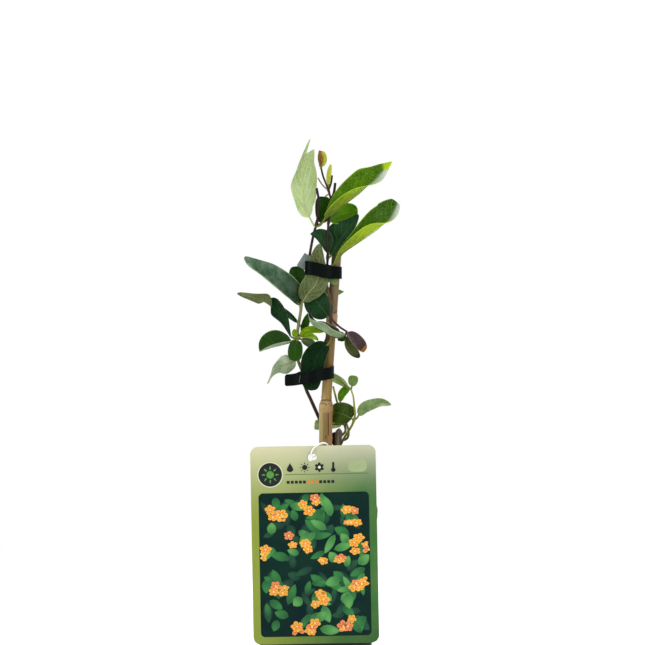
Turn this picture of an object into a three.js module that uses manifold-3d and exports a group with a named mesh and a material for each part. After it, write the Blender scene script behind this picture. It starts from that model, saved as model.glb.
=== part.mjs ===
// A young honeysuckle vine tied to a bamboo cane in a square nursery pot, with a hang label.
// Millimetres, +Z up. The origin is the middle of the pot's foot, and the label faces -Y.
import * as THREE from "three";
import { mergeVertices } from "three/addons/utils/BufferGeometryUtils.js";
import Module from "manifold-3d";

const wasm = await Module();
wasm.setup();

// Driving dimensions
const GAP = 0.3; // clearance kept between neighbouring pieces
const BLADE = 0.7; // thickness of a leaf blade
const POT = { height: 130, foot: 43.4, brim: 46.3, wall: 1.3, floor: 1.6, corner: 7 };
const RIM = { height: 8, reach: 2, corner: 8.5 };
const DRAIN = { radius: 4, out: 27 };
const SOIL = { level: 121.5, relief: 1.6, cells: 9 };
const CANE = { foot: 12, depth: 4, low: 5.1, high: 4.1, tip: 3.8, bore: 1.4 };
const JOINT = { heights: [106, 208, 278], bulge: 0.7, length: 5 }; // the bamboo's joints
const LABEL = { width: 97.5, height: 153.3, thick: 0.8, corner: 6, centre: [-0.9, -50.1, 103.2] };
const LABEL_TILT = { back: 3, side: 1.1 }; // degrees
const LABEL_HOLE = { radius: 2.5, right: 0.4, up: 67.9 };
const CORD = 0.7; // radius of the elastic label loop
const TAPE = { width: 10.4, thick: 0.7 };

const radians = THREE.MathUtils.degToRad;
const vector = (p) => new THREE.Vector3(...p);
const curve = (points) => new THREE.CatmullRomCurve3(points.map(vector), false, "centripetal");

// ---- Solids: meshes go in and out of manifold for joining and cutting ----

function solid(geometry) {
  const bare = geometry.clone();
  for (const name of ["normal", "uv"]) bare.deleteAttribute(name);
  const mesh = mergeVertices(bare, 1e-4);
  return new wasm.Manifold(
    new wasm.Mesh({
      numProp: 3,
      vertProperties: Float32Array.from(mesh.attributes.position.array),
      triVerts: Uint32Array.from(mesh.index.array),
    }),
  );
}

function geometryOf(manifold) {
  const mesh = manifold.getMesh();
  const geometry = new THREE.BufferGeometry();
  geometry.setAttribute("position", new THREE.BufferAttribute(mesh.vertProperties, 3));
  geometry.setIndex(new THREE.BufferAttribute(mesh.triVerts, 1));
  geometry.computeVertexNormals();
  return geometry;
}

const join = (geometries) => geometries.map(solid).reduce((all, one) => all.add(one));

// A closed thin sheet: place(u, v, side) gives the point at u, v in 0..1 on the face side -1 or 1.
// Both faces are split along the same diagonals.
function sheet(place, rows, columns, stations = (i) => i / rows) {
  const positions = [];
  const index = [];
  const at = (i, j, side) => (side > 0 ? 0 : (rows + 1) * (columns + 1)) + i * (columns + 1) + j;
  for (const side of [1, -1])
    for (let i = 0; i <= rows; i++)
      for (let j = 0; j <= columns; j++) positions.push(...place(stations(i), j / columns, side).toArray());
  const quad = (a, b, c, d) => index.push(a, b, c, a, c, d);
  for (let i = 0; i < rows; i++)
    for (let j = 0; j < columns; j++) {
      quad(at(i, j, 1), at(i + 1, j, 1), at(i + 1, j + 1, 1), at(i, j + 1, 1));
      quad(at(i, j, -1), at(i, j + 1, -1), at(i + 1, j + 1, -1), at(i + 1, j, -1));
    }
  for (let i = 0; i < rows; i++) {
    quad(at(i, 0, 1), at(i, 0, -1), at(i + 1, 0, -1), at(i + 1, 0, 1));
    quad(at(i, columns, 1), at(i + 1, columns, 1), at(i + 1, columns, -1), at(i, columns, -1));
  }
  for (let j = 0; j < columns; j++) {
    quad(at(0, j, 1), at(0, j + 1, 1), at(0, j + 1, -1), at(0, j, -1));
    quad(at(rows, j, 1), at(rows, j, -1), at(rows, j + 1, -1), at(rows, j + 1, 1));
  }
  const geometry = new THREE.BufferGeometry();
  geometry.setAttribute("position", new THREE.Float32BufferAttribute(positions, 3));
  geometry.setIndex(index);
  return geometry;
}

// A cylinder bent along a curve through the points; radius(t) is its radius along the way. grow makes
// it that much larger all round and at both ends.
function rod(points, radius, { sides = 6, steps = 2 * points.length - 1, grow = 0 } = {}) {
  const path = curve(points);
  const frames = path.computeFrenetFrames(steps, false);
  const geometry = new THREE.CylinderGeometry(1, 1, 1, sides, steps);
  const position = geometry.attributes.position;
  const thickness = typeof radius === "function" ? radius : () => radius;
  for (let i = 0; i < position.count; i++) {
    const t = 0.5 - position.getY(i);
    const frame = Math.round(t * steps);
    const point = path.getPointAt(frame / steps);
    if (frame === 0) point.addScaledVector(frames.tangents[frame], -grow);
    if (frame === steps) point.addScaledVector(frames.tangents[frame], grow);
    point.addScaledVector(frames.normals[frame], position.getX(i) * (thickness(t) + grow));
    point.addScaledVector(frames.binormals[frame], position.getZ(i) * (thickness(t) + grow));
    position.setXYZ(i, ...point.toArray());
  }
  return geometry;
}

const taper = (from, to) => (t) => from + (to - from) * t;

// ---- Leaves ----

const listed = (value) => (Array.isArray(value[0]) ? value : [value]);

// Values at even steps from base to tip, joined smoothly. A single one holds all along.
function along(values, share) {
  const keys = listed(values);
  if (keys.length === 1) return keys[0];
  const spot = share * (keys.length - 1);
  const k = Math.min(Math.floor(spot), keys.length - 2);
  const t = spot - k;
  return keys[k].map((one, i) => {
    const two = keys[k + 1][i];
    const before = keys[k - 1]?.[i] ?? 2 * one - two;
    const after = keys[k + 2]?.[i] ?? 2 * two - one;
    const square = 2 * before - 5 * one + 4 * two - after;
    const cube = 3 * (one - two) + after - before;
    return one + 0.5 * ((two - before) * t + square * t ** 2 + cube * t ** 3);
  });
}

// A leaf blade along its spine, base to tip. half and fold: each half's width and the degrees that it
// rises from flat, left and right of the midrib as seen on the upper face with the tip ahead. face: the
// way the upper face looks. A list of these runs evenly from base to tip. curl: more fold at the margin.
// end: the share of the length where each half ends. lean: how far its rows slant to the tip. twist:
// from, to, degrees about the midrib. swell and point: how early the blade widens and how slowly it
// narrows to the tip.
function blade(shape) {
  const { spine, half, face, fold = [10, 10], curl = 0, wave = 0, end = [1, 1], lean = [0, 0] } = shape;
  const { swell = 0.6, point = 0.6, twist = [0, 1, 0], fine = true, rows = fine ? 7 : 4 } = shape;
  const path = curve(spine);
  const peak = swell / (swell + point);
  const widest = peak ** swell * (1 - peak) ** point;
  const place = (u, v, side) => {
    const tangent = path.getTangentAt(u);
    const turn = radians(twist[2]) * THREE.MathUtils.smoothstep(u, twist[0], twist[1]);
    const up = vector(along(face, u)).projectOnPlane(tangent).normalize().applyAxisAngle(tangent, turn);
    const across = new THREE.Vector3().crossVectors(tangent, up);
    const signed = 1 - 2 * v;
    const right = signed > 0 ? 1 : 0;
    const reached = Math.min(u / end[right], 1);
    const outline = (reached ** swell * (1 - reached) ** point) / widest;
    const reach = Math.abs(signed) * (along(half, u)[right] * outline + 0.8 - 0.4 * u);
    const folds = along(fold, u).map(radians);
    const bend = radians(curl) * Math.abs(signed);
    const chord = folds[right] + bend / 2;
    const ripple = wave * signed ** 2 * Math.sin(9 * u + 2 * right);
    const point3 = path.getPointAt(u);
    point3.addScaledVector(across, Math.sign(signed) * reach * Math.cos(chord));
    point3.addScaledVector(up, reach * Math.sin(chord) + ripple * outline);
    point3.addScaledVector(tangent, reach * lean[right]);
    const normal = (k, angle) =>
      up.clone().multiplyScalar(Math.cos(angle)).addScaledVector(across, (k ? -1 : 1) * Math.sin(angle));
    let offset = normal(right, folds[right] + bend);
    if (signed === 0) {
      offset = normal(0, folds[0]).add(normal(1, folds[1])).normalize();
      offset.divideScalar(Math.max(0.6, Math.cos((folds[0] + folds[1]) / 2)));
    }
    return point3.addScaledVector(offset, (side * BLADE) / 2);
  };
  const stations = (i) => 0.45 * (i / rows) + 0.55 * (0.5 - 0.5 * Math.cos((Math.PI * i) / rows));
  return sheet(place, rows, fine ? 4 : 2, stations);
}

// A blade with the stalk that carries it, from where it leaves the stem to a little way up the midrib.
function leaf(shape) {
  const path = curve(shape.spine);
  const stalk = [...(shape.from ?? []), shape.spine[0], path.getPointAt(0.04).toArray()];
  return [blade(shape), rod(stalk, shape.stalk ?? 0.8, { sides: 5, steps: stalk.length })];
}

// ---- Pot, soil and cane ----

function roundedRectangle(width, height, corner) {
  const shape = new THREE.Shape();
  const right = width / 2 - corner;
  const top = height / 2 - corner;
  [[right, top], [-right, top], [-right, -top], [right, -top]].forEach(([x, y], k) =>
    shape.absarc(x, y, corner, (k * Math.PI) / 2, ((k + 1) * Math.PI) / 2, false),
  );
  return shape;
}

// A rounded square standing from low to high, with its half width changing evenly between the two.
function taperedBlock(low, high, halfLow, halfHigh, corner) {
  const geometry = new THREE.ExtrudeGeometry(roundedRectangle(2 * halfHigh, 2 * halfHigh, corner), {
    depth: high - low,
    bevelEnabled: false,
    curveSegments: 4,
  });
  const position = geometry.attributes.position;
  for (let i = 0; i < position.count; i++) {
    const level = position.getZ(i) / (high - low);
    const scale = (halfLow + (halfHigh - halfLow) * level) / halfHigh;
    position.setXYZ(i, position.getX(i) * scale, position.getY(i) * scale, low + position.getZ(i));
  }
  return geometry;
}

const potHalf = (level) => POT.foot + ((POT.brim - POT.foot) * level) / POT.height;

function upright(radius, low, high, x = 0, y = 0, sides = 12) {
  const geometry = new THREE.CylinderGeometry(radius, radius, high - low, sides);
  return geometry.rotateX(Math.PI / 2).translate(x, y, (low + high) / 2);
}

function pot() {
  const rimLow = POT.height - RIM.height;
  const shell = solid(taperedBlock(0, POT.height, potHalf(0), potHalf(POT.height), POT.corner));
  const rimHalf = POT.brim + RIM.reach;
  const rim = solid(taperedBlock(rimLow, POT.height, rimHalf - 0.3, rimHalf, RIM.corner));
  const inside = (from, to) =>
    solid(taperedBlock(from, to, potHalf(from) - POT.wall, potHalf(to) - POT.wall, POT.corner - POT.wall));
  let body = shell.add(rim).subtract(inside(POT.floor, POT.height + 1));
  const corners = [[1, 1], [-1, 1], [-1, -1], [1, -1]];
  const sides = [[1.1, 0], [0, 1.1], [-1.1, 0], [0, -1.1]];
  for (const [x, y] of [...corners, ...sides])
    body = body.subtract(solid(upright(DRAIN.radius, -1, POT.floor + 1, x * DRAIN.out, y * DRAIN.out)));
  return body;
}

// The cane stands upright in the soil and leans over slightly above its lowest joint.
const canePath = [
  [7.5, CANE.depth, CANE.foot],
  [7.5, CANE.depth, 100],
  [7.5, CANE.depth, 176],
  [8, CANE.depth, 208],
  [10.7, CANE.depth, 248],
  [13.8, CANE.depth, 292],
  [16.2, CANE.depth, 324],
  [17.8, CANE.depth, 345],
];

function cane(grow = 0) {
  const length = curve(canePath).getLength();
  const radius = (t) => {
    const height = CANE.foot + t * length;
    const step = JOINT.heights[1];
    const upper = THREE.MathUtils.mapLinear(height, step, CANE.foot + length, CANE.high, CANE.tip);
    const near = (joint) => JOINT.bulge * Math.exp(-(((height - joint) / JOINT.length) ** 2));
    return (height < step ? CANE.low : upper) + JOINT.heights.map(near).reduce((sum, one) => sum + one);
  };
  return rod(canePath, radius, { sides: 10, steps: 30, grow });
}

function soil(holes) {
  const reach = POT.brim;
  const hump = (x, y) => Math.sin(0.13 * x + 1) * Math.cos(0.11 * y) + 0.5 * Math.sin(0.31 * x - 0.27 * y);
  const place = (u, v, side) => {
    const x = (2 * u - 1) * reach;
    const y = (2 * v - 1) * reach;
    return new THREE.Vector3(x, y, side > 0 ? SOIL.level + SOIL.relief * hump(x, y) : 0);
  };
  const low = POT.floor + GAP;
  const high = SOIL.level + 6;
  const inset = POT.wall + GAP;
  const fill = taperedBlock(low, high, potHalf(low) - inset, potHalf(high) - inset, POT.corner - inset);
  let body = solid(sheet(place, SOIL.cells, SOIL.cells)).intersect(solid(fill));
  for (const hole of holes) body = body.subtract(solid(hole));
  return body;
}

// ---- Ties ----

// A strip of tape standing on edge along a path seen from above, centred on height 0.
function tape(points, width = TAPE.width) {
  const path = curve(points.map(([x, y, z = 0]) => [x, y, z]));
  const place = (u, v, side) => {
    const tangent = path.getTangentAt(u);
    const outward = new THREE.Vector3(tangent.y, -tangent.x, 0).normalize();
    const rise = new THREE.Vector3().crossVectors(outward, tangent).negate();
    if (rise.z < 0) rise.negate();
    const point = path.getPointAt(u).addScaledVector(rise, (v - 0.5) * width);
    return point.addScaledVector(outward, (side * TAPE.thick) / 2);
  };
  return sheet(place, 3 * (points.length - 1), 1);
}

function lowerTie() {
  const front = [
    [-26, -5.6], [-20, -6], [-15, -7], [-10, -10.4],
    [0, -11.8], [8, -9], [14.5, -2.8], [15.8, 4],
  ];
  const back = [
    [15.75, 2.5], [14.5, 7.8], [9.6, 9.9], [3, 9.6], [-5, 7.2],
    [-11.2, 3], [-14, -2], [-15.6, -6.8], [-19, -6],
  ];
  return join([tape(front), tape(back)]);
}

function upperTie() {
  const front = [
    [-9.6, -3.4], [-9.4, -7], [-6, -10.6], [0, -11.2],
    [8, -10.6], [15.8, -6.6], [20, -0.6], [20.6, 5],
  ];
  const back = [
    [20.55, 3.5], [19.6, 8.2], [15.2, 9.8], [6, 9.8],
    [-3.6, 9], [-8.8, 4.4], [-9.6, -1], [-9.55, -5],
  ];
  const tail = [[-9.8, -4.5, 0], [-11, -2.5, 1.6], [-13.6, -0.5, 4.6], [-15.8, 1, 6.6]];
  return join([tape(front), tape(back), tape(tail, TAPE.width * 0.96)]);
}

// ---- Label ----

function label() {
  const plate = roundedRectangle(LABEL.width, LABEL.height, LABEL.corner);
  const { right, up, radius } = LABEL_HOLE;
  plate.holes.push(new THREE.Path().absarc(right, up, radius, 0, 2 * Math.PI, true));
  const flat = { depth: LABEL.thick, bevelEnabled: false, curveSegments: 6 };
  return new THREE.ExtrudeGeometry(plate, flat).rotateX(Math.PI / 2);
}

// The elastic loop passes through the label's hole, over its top edge and round the cane.
const loopPath = [
  [-3.5, -48.7, 170.8],
  [-3.3, -48.8, 174],
  [-1.4, -48.4, 178.6],
  [1.4, -46.6, 181.5],
  [3.8, -43.6, 180.6],
  [3, -30, 176],
  [1, -10, 172.5],
  [0.9, 2, 171.2],
  [3.4, 9.4, 170.8],
  [8, 11, 170.6],
  [12.3, 8.8, 170.6],
  [14.1, 4, 170.8],
  [13.2, -4, 171],
  [8.6, -20, 172],
  [1.4, -38, 172],
  [-1.7, -44.4, 171.2],
  [-2.1, -47.3, 171],
  [-2.6, -48.8, 170.7],
];

function labelLoop() {
  const knot = new THREE.SphereGeometry(1, 7, 5).scale(2.1, 1.3, 2.9).translate(-4.2, -48.8, 170.9);
  return join([rod(loopPath, CORD, { sides: 5, steps: 42 }), knot]);
}

// ---- The vine ----

// The woody crown: last year's stem and a side stub, both cut off above the new shoots.
const crownStem = [[19, 6, 96], [18, 7, 122], [18, 8, 150], [19.2, 8, 174], [20.4, 8, 189]];
const crownStub = [[17.6, 8, 152], [16.8, 11, 164], [16, 12.6, 175], [15.8, 13, 185.5]];
const crownRods = (grow = 0) => [
  rod(crownStem, taper(3.9, 2.9), { sides: 8, grow }),
  rod(crownStub, taper(2.5, 1.9), { grow }),
];

const mainStem = [
  [15.9, 12.4, 174],
  [8.6, 12.6, 184],
  [2.6, 9, 196.4],
  [-4.5, 4, 212.6],
  [-7.7, 1.6, 219.8],
  [-9.6, 0.4, 227],
  [-11, -0.4, 234.6],
  [-14.4, -2, 244],
  [-15.6, -3, 253],
  [-15.2, -3.5, 261.6],
  [-14, -3, 272],
  [-12.1, -2.4, 284],
  [-12, -1.4, 288],
  [-10.6, 1, 300],
  [-7, 3.4, 314],
  [-4.8, 4.4, 329.6],
  [-1.6, 4.6, 346],
  [0.4, 4, 353],
  [2.3, 4, 369.6],
  [0.6, 4.6, 381.6],
];
const MAIN_STEM = { low: 1.5, high: 0.95 };
const mainRod = (grow = 0) => rod(mainStem, taper(MAIN_STEM.low, MAIN_STEM.high), { steps: 30, grow });

const leftLeaves = [
  // at the tip of the main stem: a broad leaf seen from below
  {
    from: [[-0.4, 4, 350], [-2.8, 3.2, 353.6]],
    spine: [
      [-5.4, 2.4, 358.4], [-9.2, 2, 364], [-10.2, 2.6, 375.2], [-10.4, 3.4, 384], [-11, 4.4, 392],
      [-10.4, 5.6, 400], [-8.2, 7, 408.8], [-6, 8.4, 416], [-4.5, 9, 421],
    ],
    half: [[14, 7], [12, 7.6], [12, 9.8], [11, 8], [12, 6], [12, 4]],
    face: [[-0.1, 1, 0.1], [0.1, 1, 0.2]],
    fold: [[10, 10], [12, 8], [14, 8], [16, 50], [18, 56], [20, 40]],
    end: [0.79, 1],
    lean: [1.3, 0],
    swell: 0.6,
    point: 0.6,
    rows: 11,
  },
  // its partner, folded like a boat and reaching to the right in front of the other shoot
  {
    from: [[0, 4, 350.5], [4, -1.6, 352]],
    spine: [
      [7.6, -4.6, 357.6], [12.8, -6.4, 361.1], [24.4, -9.6, 369.6], [35.2, -11.6, 377.6],
      [43.2, -12.2, 385.2], [51.2, -11.4, 394], [60.4, -8, 401.8],
    ],
    half: [[16, 16], [15.6, 15.5], [15, 16], [8.8, 14], [4, 6]],
    face: [-0.55, -0.55, 0.62],
    fold: [[56, 58], [57, 60], [57, 52], [54, 16], [50, 20]],
    lean: [0.6, 0],
    swell: 0.55,
    point: 0.62,
  },
  // a small upright leaf behind the joint
  {
    from: [[0.6, 4.4, 352]],
    spine: [[4.6, 6.4, 353.6], [5.4, 8.4, 364], [5.6, 10.6, 375]],
    half: [6.4, 6.4],
    face: [0.2, -1, 0.3],
    swell: 0.4,
    point: 0.25,
  },
  // held flat under the upper tie, underside to the front
  {
    from: [[-12, -2, 287.6]],
    spine: [
      [-10.4, -4, 291], [-5.7, -5.4, 298.4], [0.6, -6.2, 306], [2.2, -7, 315], [3, -7.4, 325],
      [2.9, -8.6, 337],
    ],
    half: [[7, 8], [8.6, 10], [8, 10.4], [5, 11], [5, 11]],
    face: [0, 1, 0.05],
    fold: [[8, 8], [-4, -8]],
    swell: 0.36,
    point: 0.6,
  },
  // long leaf behind the cane, its tip beyond it
  {
    from: [[-11.8, -0.4, 289.6]],
    spine: [[-8, 4, 291], [1, 10.4, 294.4], [12, 12.4, 297], [22.4, 12, 298.4]],
    half: [7, 7],
    face: [0.1, -0.8, 0.6],
    point: 0.9,
  },
  // big leaf to the left, upper face to the front and above
  {
    from: [[-12.2, -2.2, 286.5]],
    spine: [
      [-13.6, -3, 288.4], [-20, -4.6, 293.6], [-26.4, -7, 298.4], [-33, -9.6, 303.6],
      [-38.6, -11.8, 308.4], [-45.6, -14.4, 314.4], [-52, -16.4, 320.8], [-56.5, -18, 326.6],
    ],
    half: [[11, 13], [12, 14], [12, 13], [10, 12], [9, 10]],
    face: [0.3, -0.75, 0.6],
    fold: [[30, 18], [36, 16], [46, 14], [38, 12], [0, 16]],
    curl: 10,
    wave: 0.9,
    swell: 0.5,
    point: 0.6,
  },
  // upright leaf behind the joint
  {
    from: [[-12, -1, 288]],
    spine: [[-11.8, 3, 292], [-13.6, 6, 301], [-15, 8, 310], [-15, 9, 319]],
    half: [7, 6.4],
    face: [0, -1, 0.2],
    swell: 0.4,
    point: 0.25,
  },
  // long twisted leaf at the lower joint: upper face first, underside towards the tip
  {
    from: [[-15.4, -3.4, 260.8]],
    spine: [
      [-18.4, -4.2, 263], [-21.6, -5.4, 269], [-24.4, -6.6, 276.4], [-29, -8.4, 282.6],
      [-36, -10, 288.4], [-43.2, -11, 292], [-52.8, -12, 294.8], [-62.6, -13, 297.6],
    ],
    half: [[6, 5], [8, 6.4], [8, 6.4], [4.4, 4.4], [3, 3]],
    face: [[0.3, -1, 0.2], [0.2, -1, 0.4]],
    fold: [[10, 10], [16, 14], [40, 40], [36, 36], [30, 30]],
    wave: 0.6,
    twist: [0.46, 0.68, 150],
    swell: 0.7,
    point: 0.5,
    rows: 16,
  },
  // narrow leaf behind it
  {
    from: [[-14.6, -3, 263], [-10.6, 0, 265.6], [-11.6, 1.4, 270]],
    spine: [[-15, 2.4, 274], [-24, 3, 281.4], [-37, 2, 290]],
    half: [3.4, 3.4],
    face: [0.2, -0.8, 0.6],
    fine: false,
  },
  // round leaf to the left, like a shell
  {
    from: [[-15.4, -3.6, 260.6]],
    spine: [
      [-19.6, -4, 259.2], [-24, -5.4, 257.6], [-30.8, -7.4, 255.6], [-37.6, -9, 253.6],
      [-44.8, -10.4, 251],
    ],
    half: [[11, 12], [13, 13], [13, 13]],
    face: [[0, -0.7, 0.7], [-0.2, -0.72, 0.7]],
    fold: [[52, 44], [56, 44], [54, 40]],
    swell: 0.5,
    point: 0.5,
  },
  // small round leaf that hangs in front of the stem
  {
    from: [[-15.3, -3.2, 262]],
    spine: [[-15.2, -5.8, 260], [-16.5, -7.6, 252], [-16.8, -7.4, 243.6]],
    half: [5.7, 5.7],
    face: [0.1, -1, 0.1],
    fold: [6, 6],
    swell: 0.4,
    point: 0.3,
  },
  // pale leaf below, its tip rolled to a thread
  {
    from: [[-14.6, -2.4, 244.6]],
    spine: [
      [-16.4, -2.6, 243.6], [-19.2, -3.2, 242.4], [-25.6, -5, 240.4], [-31.2, -7, 237.6],
      [-35.2, -8.8, 232], [-38.6, -10, 225.4],
    ],
    half: [[7, 9], [8.6, 10.4], [4, 5], [1, 1], [0.8, 0.8]],
    face: [0.1, 0.9, 0.35],
    fold: [8, 10],
    swell: 0.4,
    point: 0.3,
  },
  // folded young leaf to the right of the joint
  {
    from: [[-15, -3.6, 262]],
    spine: [[-12.4, -5.2, 263.2], [-8, -6.4, 266.8], [-1.6, -7.4, 268.2], [6, -6.8, 266.8]],
    half: [3.6, 3.4],
    face: [0, -0.8, 0.6],
    fold: [10, 10],
    fine: false,
    swell: 0.5,
    point: 0.6,
  },
  // young leaf under it
  {
    from: [[-15, -3.8, 261.4]],
    spine: [[-12, -5.4, 263], [-6.4, -8, 263.6], [-1.6, -9, 262.4], [2, -9.2, 260]],
    half: [3.6, 3],
    face: [0, -0.5, 0.9],
    fold: [6, 6],
    fine: false,
    swell: 0.6,
    point: 0.7,
  },
  // greyish leaf that points down to the right
  {
    from: [[-15.2, -3.2, 261]],
    spine: [[-11.4, -3.8, 260.8], [-5.6, -3.2, 258], [-1.6, -2.4, 253.4]],
    half: [4.2, 4.2],
    face: [0.2, 0.9, 0.4],
    fine: false,
  },
  // narrow upright leaf
  {
    from: [[-15, -3, 263.4]],
    spine: [[-11, -1.6, 265.4], [-8.6, -0.4, 273], [-5.8, 0.4, 281.4]],
    half: [2.9, 2.9],
    face: [0.3, -1, 0.2],
    fine: false,
  },
  // bud leaf in the joint
  {
    from: [[-15.2, -3.6, 261.6]],
    spine: [[-16.2, -5, 262.6], [-17.2, -5.6, 266], [-16.8, -5.4, 269]],
    half: [1.8, 1.8],
    face: [0, -1, 0],
    fine: false,
  },
];

const frontStem = [
  [-7.7, 1.6, 219.8],
  [-4.6, -1.4, 228],
  [-1, -2.4, 238],
  [3.4, -2.4, 249],
  [10.4, -2.8, 267],
  [12, -2.8, 277.6],
  [11.3, -2.8, 291],
  [8.9, -3, 304],
  [8.5, -3.4, 312],
  [9.3, -3.6, 326],
  [9.3, -3.2, 341],
  [10, -1.6, 354],
  [11.8, 0, 364],
  [11.6, 0.4, 373],
  [9.7, 0.2, 380.4],
  [5.6, 0, 391],
  [3.9, 0, 398.4],
];
const FRONT_STEM = { low: 1.25, high: 0.75 };
const frontTwigs = () => [
  // cut and withered side twigs near the top
  rod([[10, 0.2, 380], [11.8, 0.8, 385], [12.8, 1, 391.6]], 0.9),
  rod([[11.5, 0.4, 372], [14, 1.4, 376.6], [15.4, 1.6, 385.6]], 1.05),
  rod([[9.8, 0.2, 379.6], [5, -0.6, 384], [1.5, -1.4, 389.4]], 0.6, { sides: 5 }),
  rod([[10.8, 0.3, 377], [7.2, -0.4, 374.6]], 0.6, { sides: 5 }),
  // stalk of the drooping bunch on the right
  rod([[12, -2.8, 277.6], [18, -6.4, 271.4], [24.6, -9, 267]], taper(1, 0.8)),
];

const frontLeaves = [
  // boat-shaped leaf to the right
  {
    from: [[8.8, -3.4, 313], [10.8, -4.6, 316]],
    spine: [
      [14.2, -5.4, 320.7], [20.8, -8.8, 329.4], [33.9, -13.4, 338.2], [45.5, -15, 346.2],
      [54.2, -14.6, 352.7], [60, -13, 358.2], [65.6, -9, 364.8],
    ],
    half: [[17, 16], [19, 19], [20, 17], [15, 12], [9, 8]],
    face: [-0.51, -0.53, 0.68],
    fold: [[60, 60], [58, 68], [58, 66], [58, 52], [56, 26], [50, 16]],
    lean: [0.5, 0],
    swell: 1.15,
    point: 0.3,
  },
  // dark leaf to the right of the stem, its far half folded back
  {
    from: [[9.3, -3.4, 325]],
    spine: [
      [12, -2.8, 327.2], [16.8, -1.8, 335.2], [22.4, -1.2, 344], [28, -1.6, 351.2], [33.8, -3, 360.4],
    ],
    half: [[12, 4], [13.6, 3.4], [13.6, 3.8], [8, 4.4], [4, 4]],
    face: [[-0.1, -1, 0.15], [-0.2, -1, 0.5]],
    fold: [[-6, 4], [4, 4], [24, 4]],
    swell: 0.5,
    point: 0.5,
  },
  // its partner to the left
  {
    from: [[9.2, -3.4, 325.6]],
    spine: [[10.4, -3, 329.6], [7.4, -3.2, 337.6], [2.4, -3.2, 342.6], [-4.5, -3.4, 344.8]],
    half: [[3, 1], [3.8, 8.4], [3.6, 8]],
    face: [0.1, -1, 0.2],
    fold: [4, 4],
    swell: 0.5,
    point: 0.8,
  },
  // leaf behind, lit through
  {
    from: [[10.1, -1.4, 353]],
    spine: [[11.6, 1.2, 354.8], [18, 3.6, 359], [26, 4.4, 361.6], [33.4, 2.6, 361]],
    half: [8.2, 7],
    face: [0, -1, 0.25],
    swell: 0.4,
    point: 0.35,
  },
  // small leaf flat against the cane under the upper tie
  {
    from: [[8.8, -3.2, 306]],
    spine: [[10.4, -3, 307], [12.8, -2.6, 309], [16.4, -2.2, 311]],
    half: [3.4, 5.4],
    face: [0.1, -1, 0.1],
    fold: [0, 0],
    fine: false,
    swell: 0.4,
    point: 0.35,
  },
  // dark round leaf behind the tied one
  {
    from: [[11.9, -2.8, 277]],
    spine: [[9.6, -2.6, 278.6], [5.6, -2, 284.4], [0, -0.6, 291.6], [-5, 1, 298.6]],
    half: [11, 9.6],
    face: [-0.2, -1, 0.1],
    fold: [4, 4],
    swell: 0.45,
    point: 0.45,
  },
  // large dark leaf held under the lower tie
  {
    from: [[10.6, -2.8, 267.6], [11.8, -4, 260.4]],
    spine: [[9.4, -5, 256.6], [3.8, -6.8, 251.6], [-0.8, -8, 243], [-3.2, -8.6, 232], [-4.2, -8, 220]],
    half: [[7.4, 11], [8, 11.8], [8.4, 9.6], [8, 8]],
    face: [0, -1, 0.1],
    fold: [[2, -2], [-4, -8], [-8, -10]],
    swell: 0.42,
    point: 0.28,
  },
  // drooping bunch: a long leaf back across the stems, underside to the front
  {
    from: [[24.4, -9, 267]],
    spine: [
      [23.4, -10, 265], [20.6, -11.2, 263], [16.2, -12.2, 262.8], [10.6, -12.8, 264.4],
      [5, -12.8, 268.4], [-1.6, -12.6, 271.4], [-5.1, -12, 276], [-5.8, -11.4, 282.4],
    ],
    half: [[9, 9], [9.4, 9], [9.6, 7], [9.6, 5], [9, 5]],
    face: [[0.1, -0.5, 0.85], [0.5, -0.5, 0.7]],
    fold: [[66, 44], [68, 44], [66, 60], [40, 50]],
    swell: 0.5,
    point: 0.5,
  },
  // dark leaf with a withered tip
  {
    from: [[24.2, -8.8, 267.2]],
    spine: [
      [25.4, -9.8, 266.4], [28.6, -11.6, 262.6], [32, -13, 258.4], [35.6, -14, 254.4],
      [38.8, -14.4, 251.6],
    ],
    half: [6.2, 4],
    face: [0.2, -1, 0.3],
    fold: [16, 30],
    swell: 0.5,
    point: 0.35,
  },
  // olive leaf behind it
  {
    from: [[24.6, -9, 267]],
    spine: [[25.2, -8.4, 263.6], [26.4, -8, 257], [29.6, -8.6, 251.4], [34.8, -9.4, 246.4]],
    half: [4.2, 3.8],
    face: [0.2, -1, -0.1],
    fine: false,
  },
  // short green leaf beside the cane
  {
    from: [[24.4, -8.6, 266.6]],
    spine: [[23.4, -6.8, 264], [20.4, -3.2, 261.4], [17.4, -0.6, 260.6]],
    half: [2.6, 2.8],
    face: [0.5, -0.8, 0.4],
    fine: false,
  },
  // thin young leaf at the top
  {
    from: [[9.8, 0.2, 380.4]],
    spine: [[9.9, 0, 384], [10.4, -0.2, 392], [12, -0.2, 400.4]],
    half: [1.9, 1.5],
    face: [0.2, -1, 0],
    fine: false,
    stalk: 0.6,
  },
  // the two leaves of the end bud
  {
    from: [[4.2, 0, 396.4]],
    spine: [[4.4, 0, 398.6], [5.6, 0.6, 404.6], [4, 0.8, 411]],
    half: [3, 2.6],
    face: [0.5, 1, 0.1],
    fold: [24, 24],
    fine: false,
    swell: 0.5,
    point: 0.4,
  },
  {
    from: [[3.9, -0.2, 396.6]],
    spine: [[3.6, -0.6, 398.6], [2.4, -1, 405], [3, -0.6, 411.4]],
    half: [2, 1.9],
    face: [1, 0.9, 0.1],
    fold: [18, 18],
    fine: false,
    swell: 0.5,
    point: 0.4,
  },
];

// Green shoots from the foot of the vine, to the right of the cane
const rightStem = [
  [19.6, 7, 174.6],
  [21.6, 3.6, 179.4],
  [25.2, 1.4, 185.4],
  [29.4, -1, 193],
  [31.2, -2, 200],
  [30.6, -2, 207.6],
  [29.8, -1, 214.8],
  [28, 0.4, 220.6],
];

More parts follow.
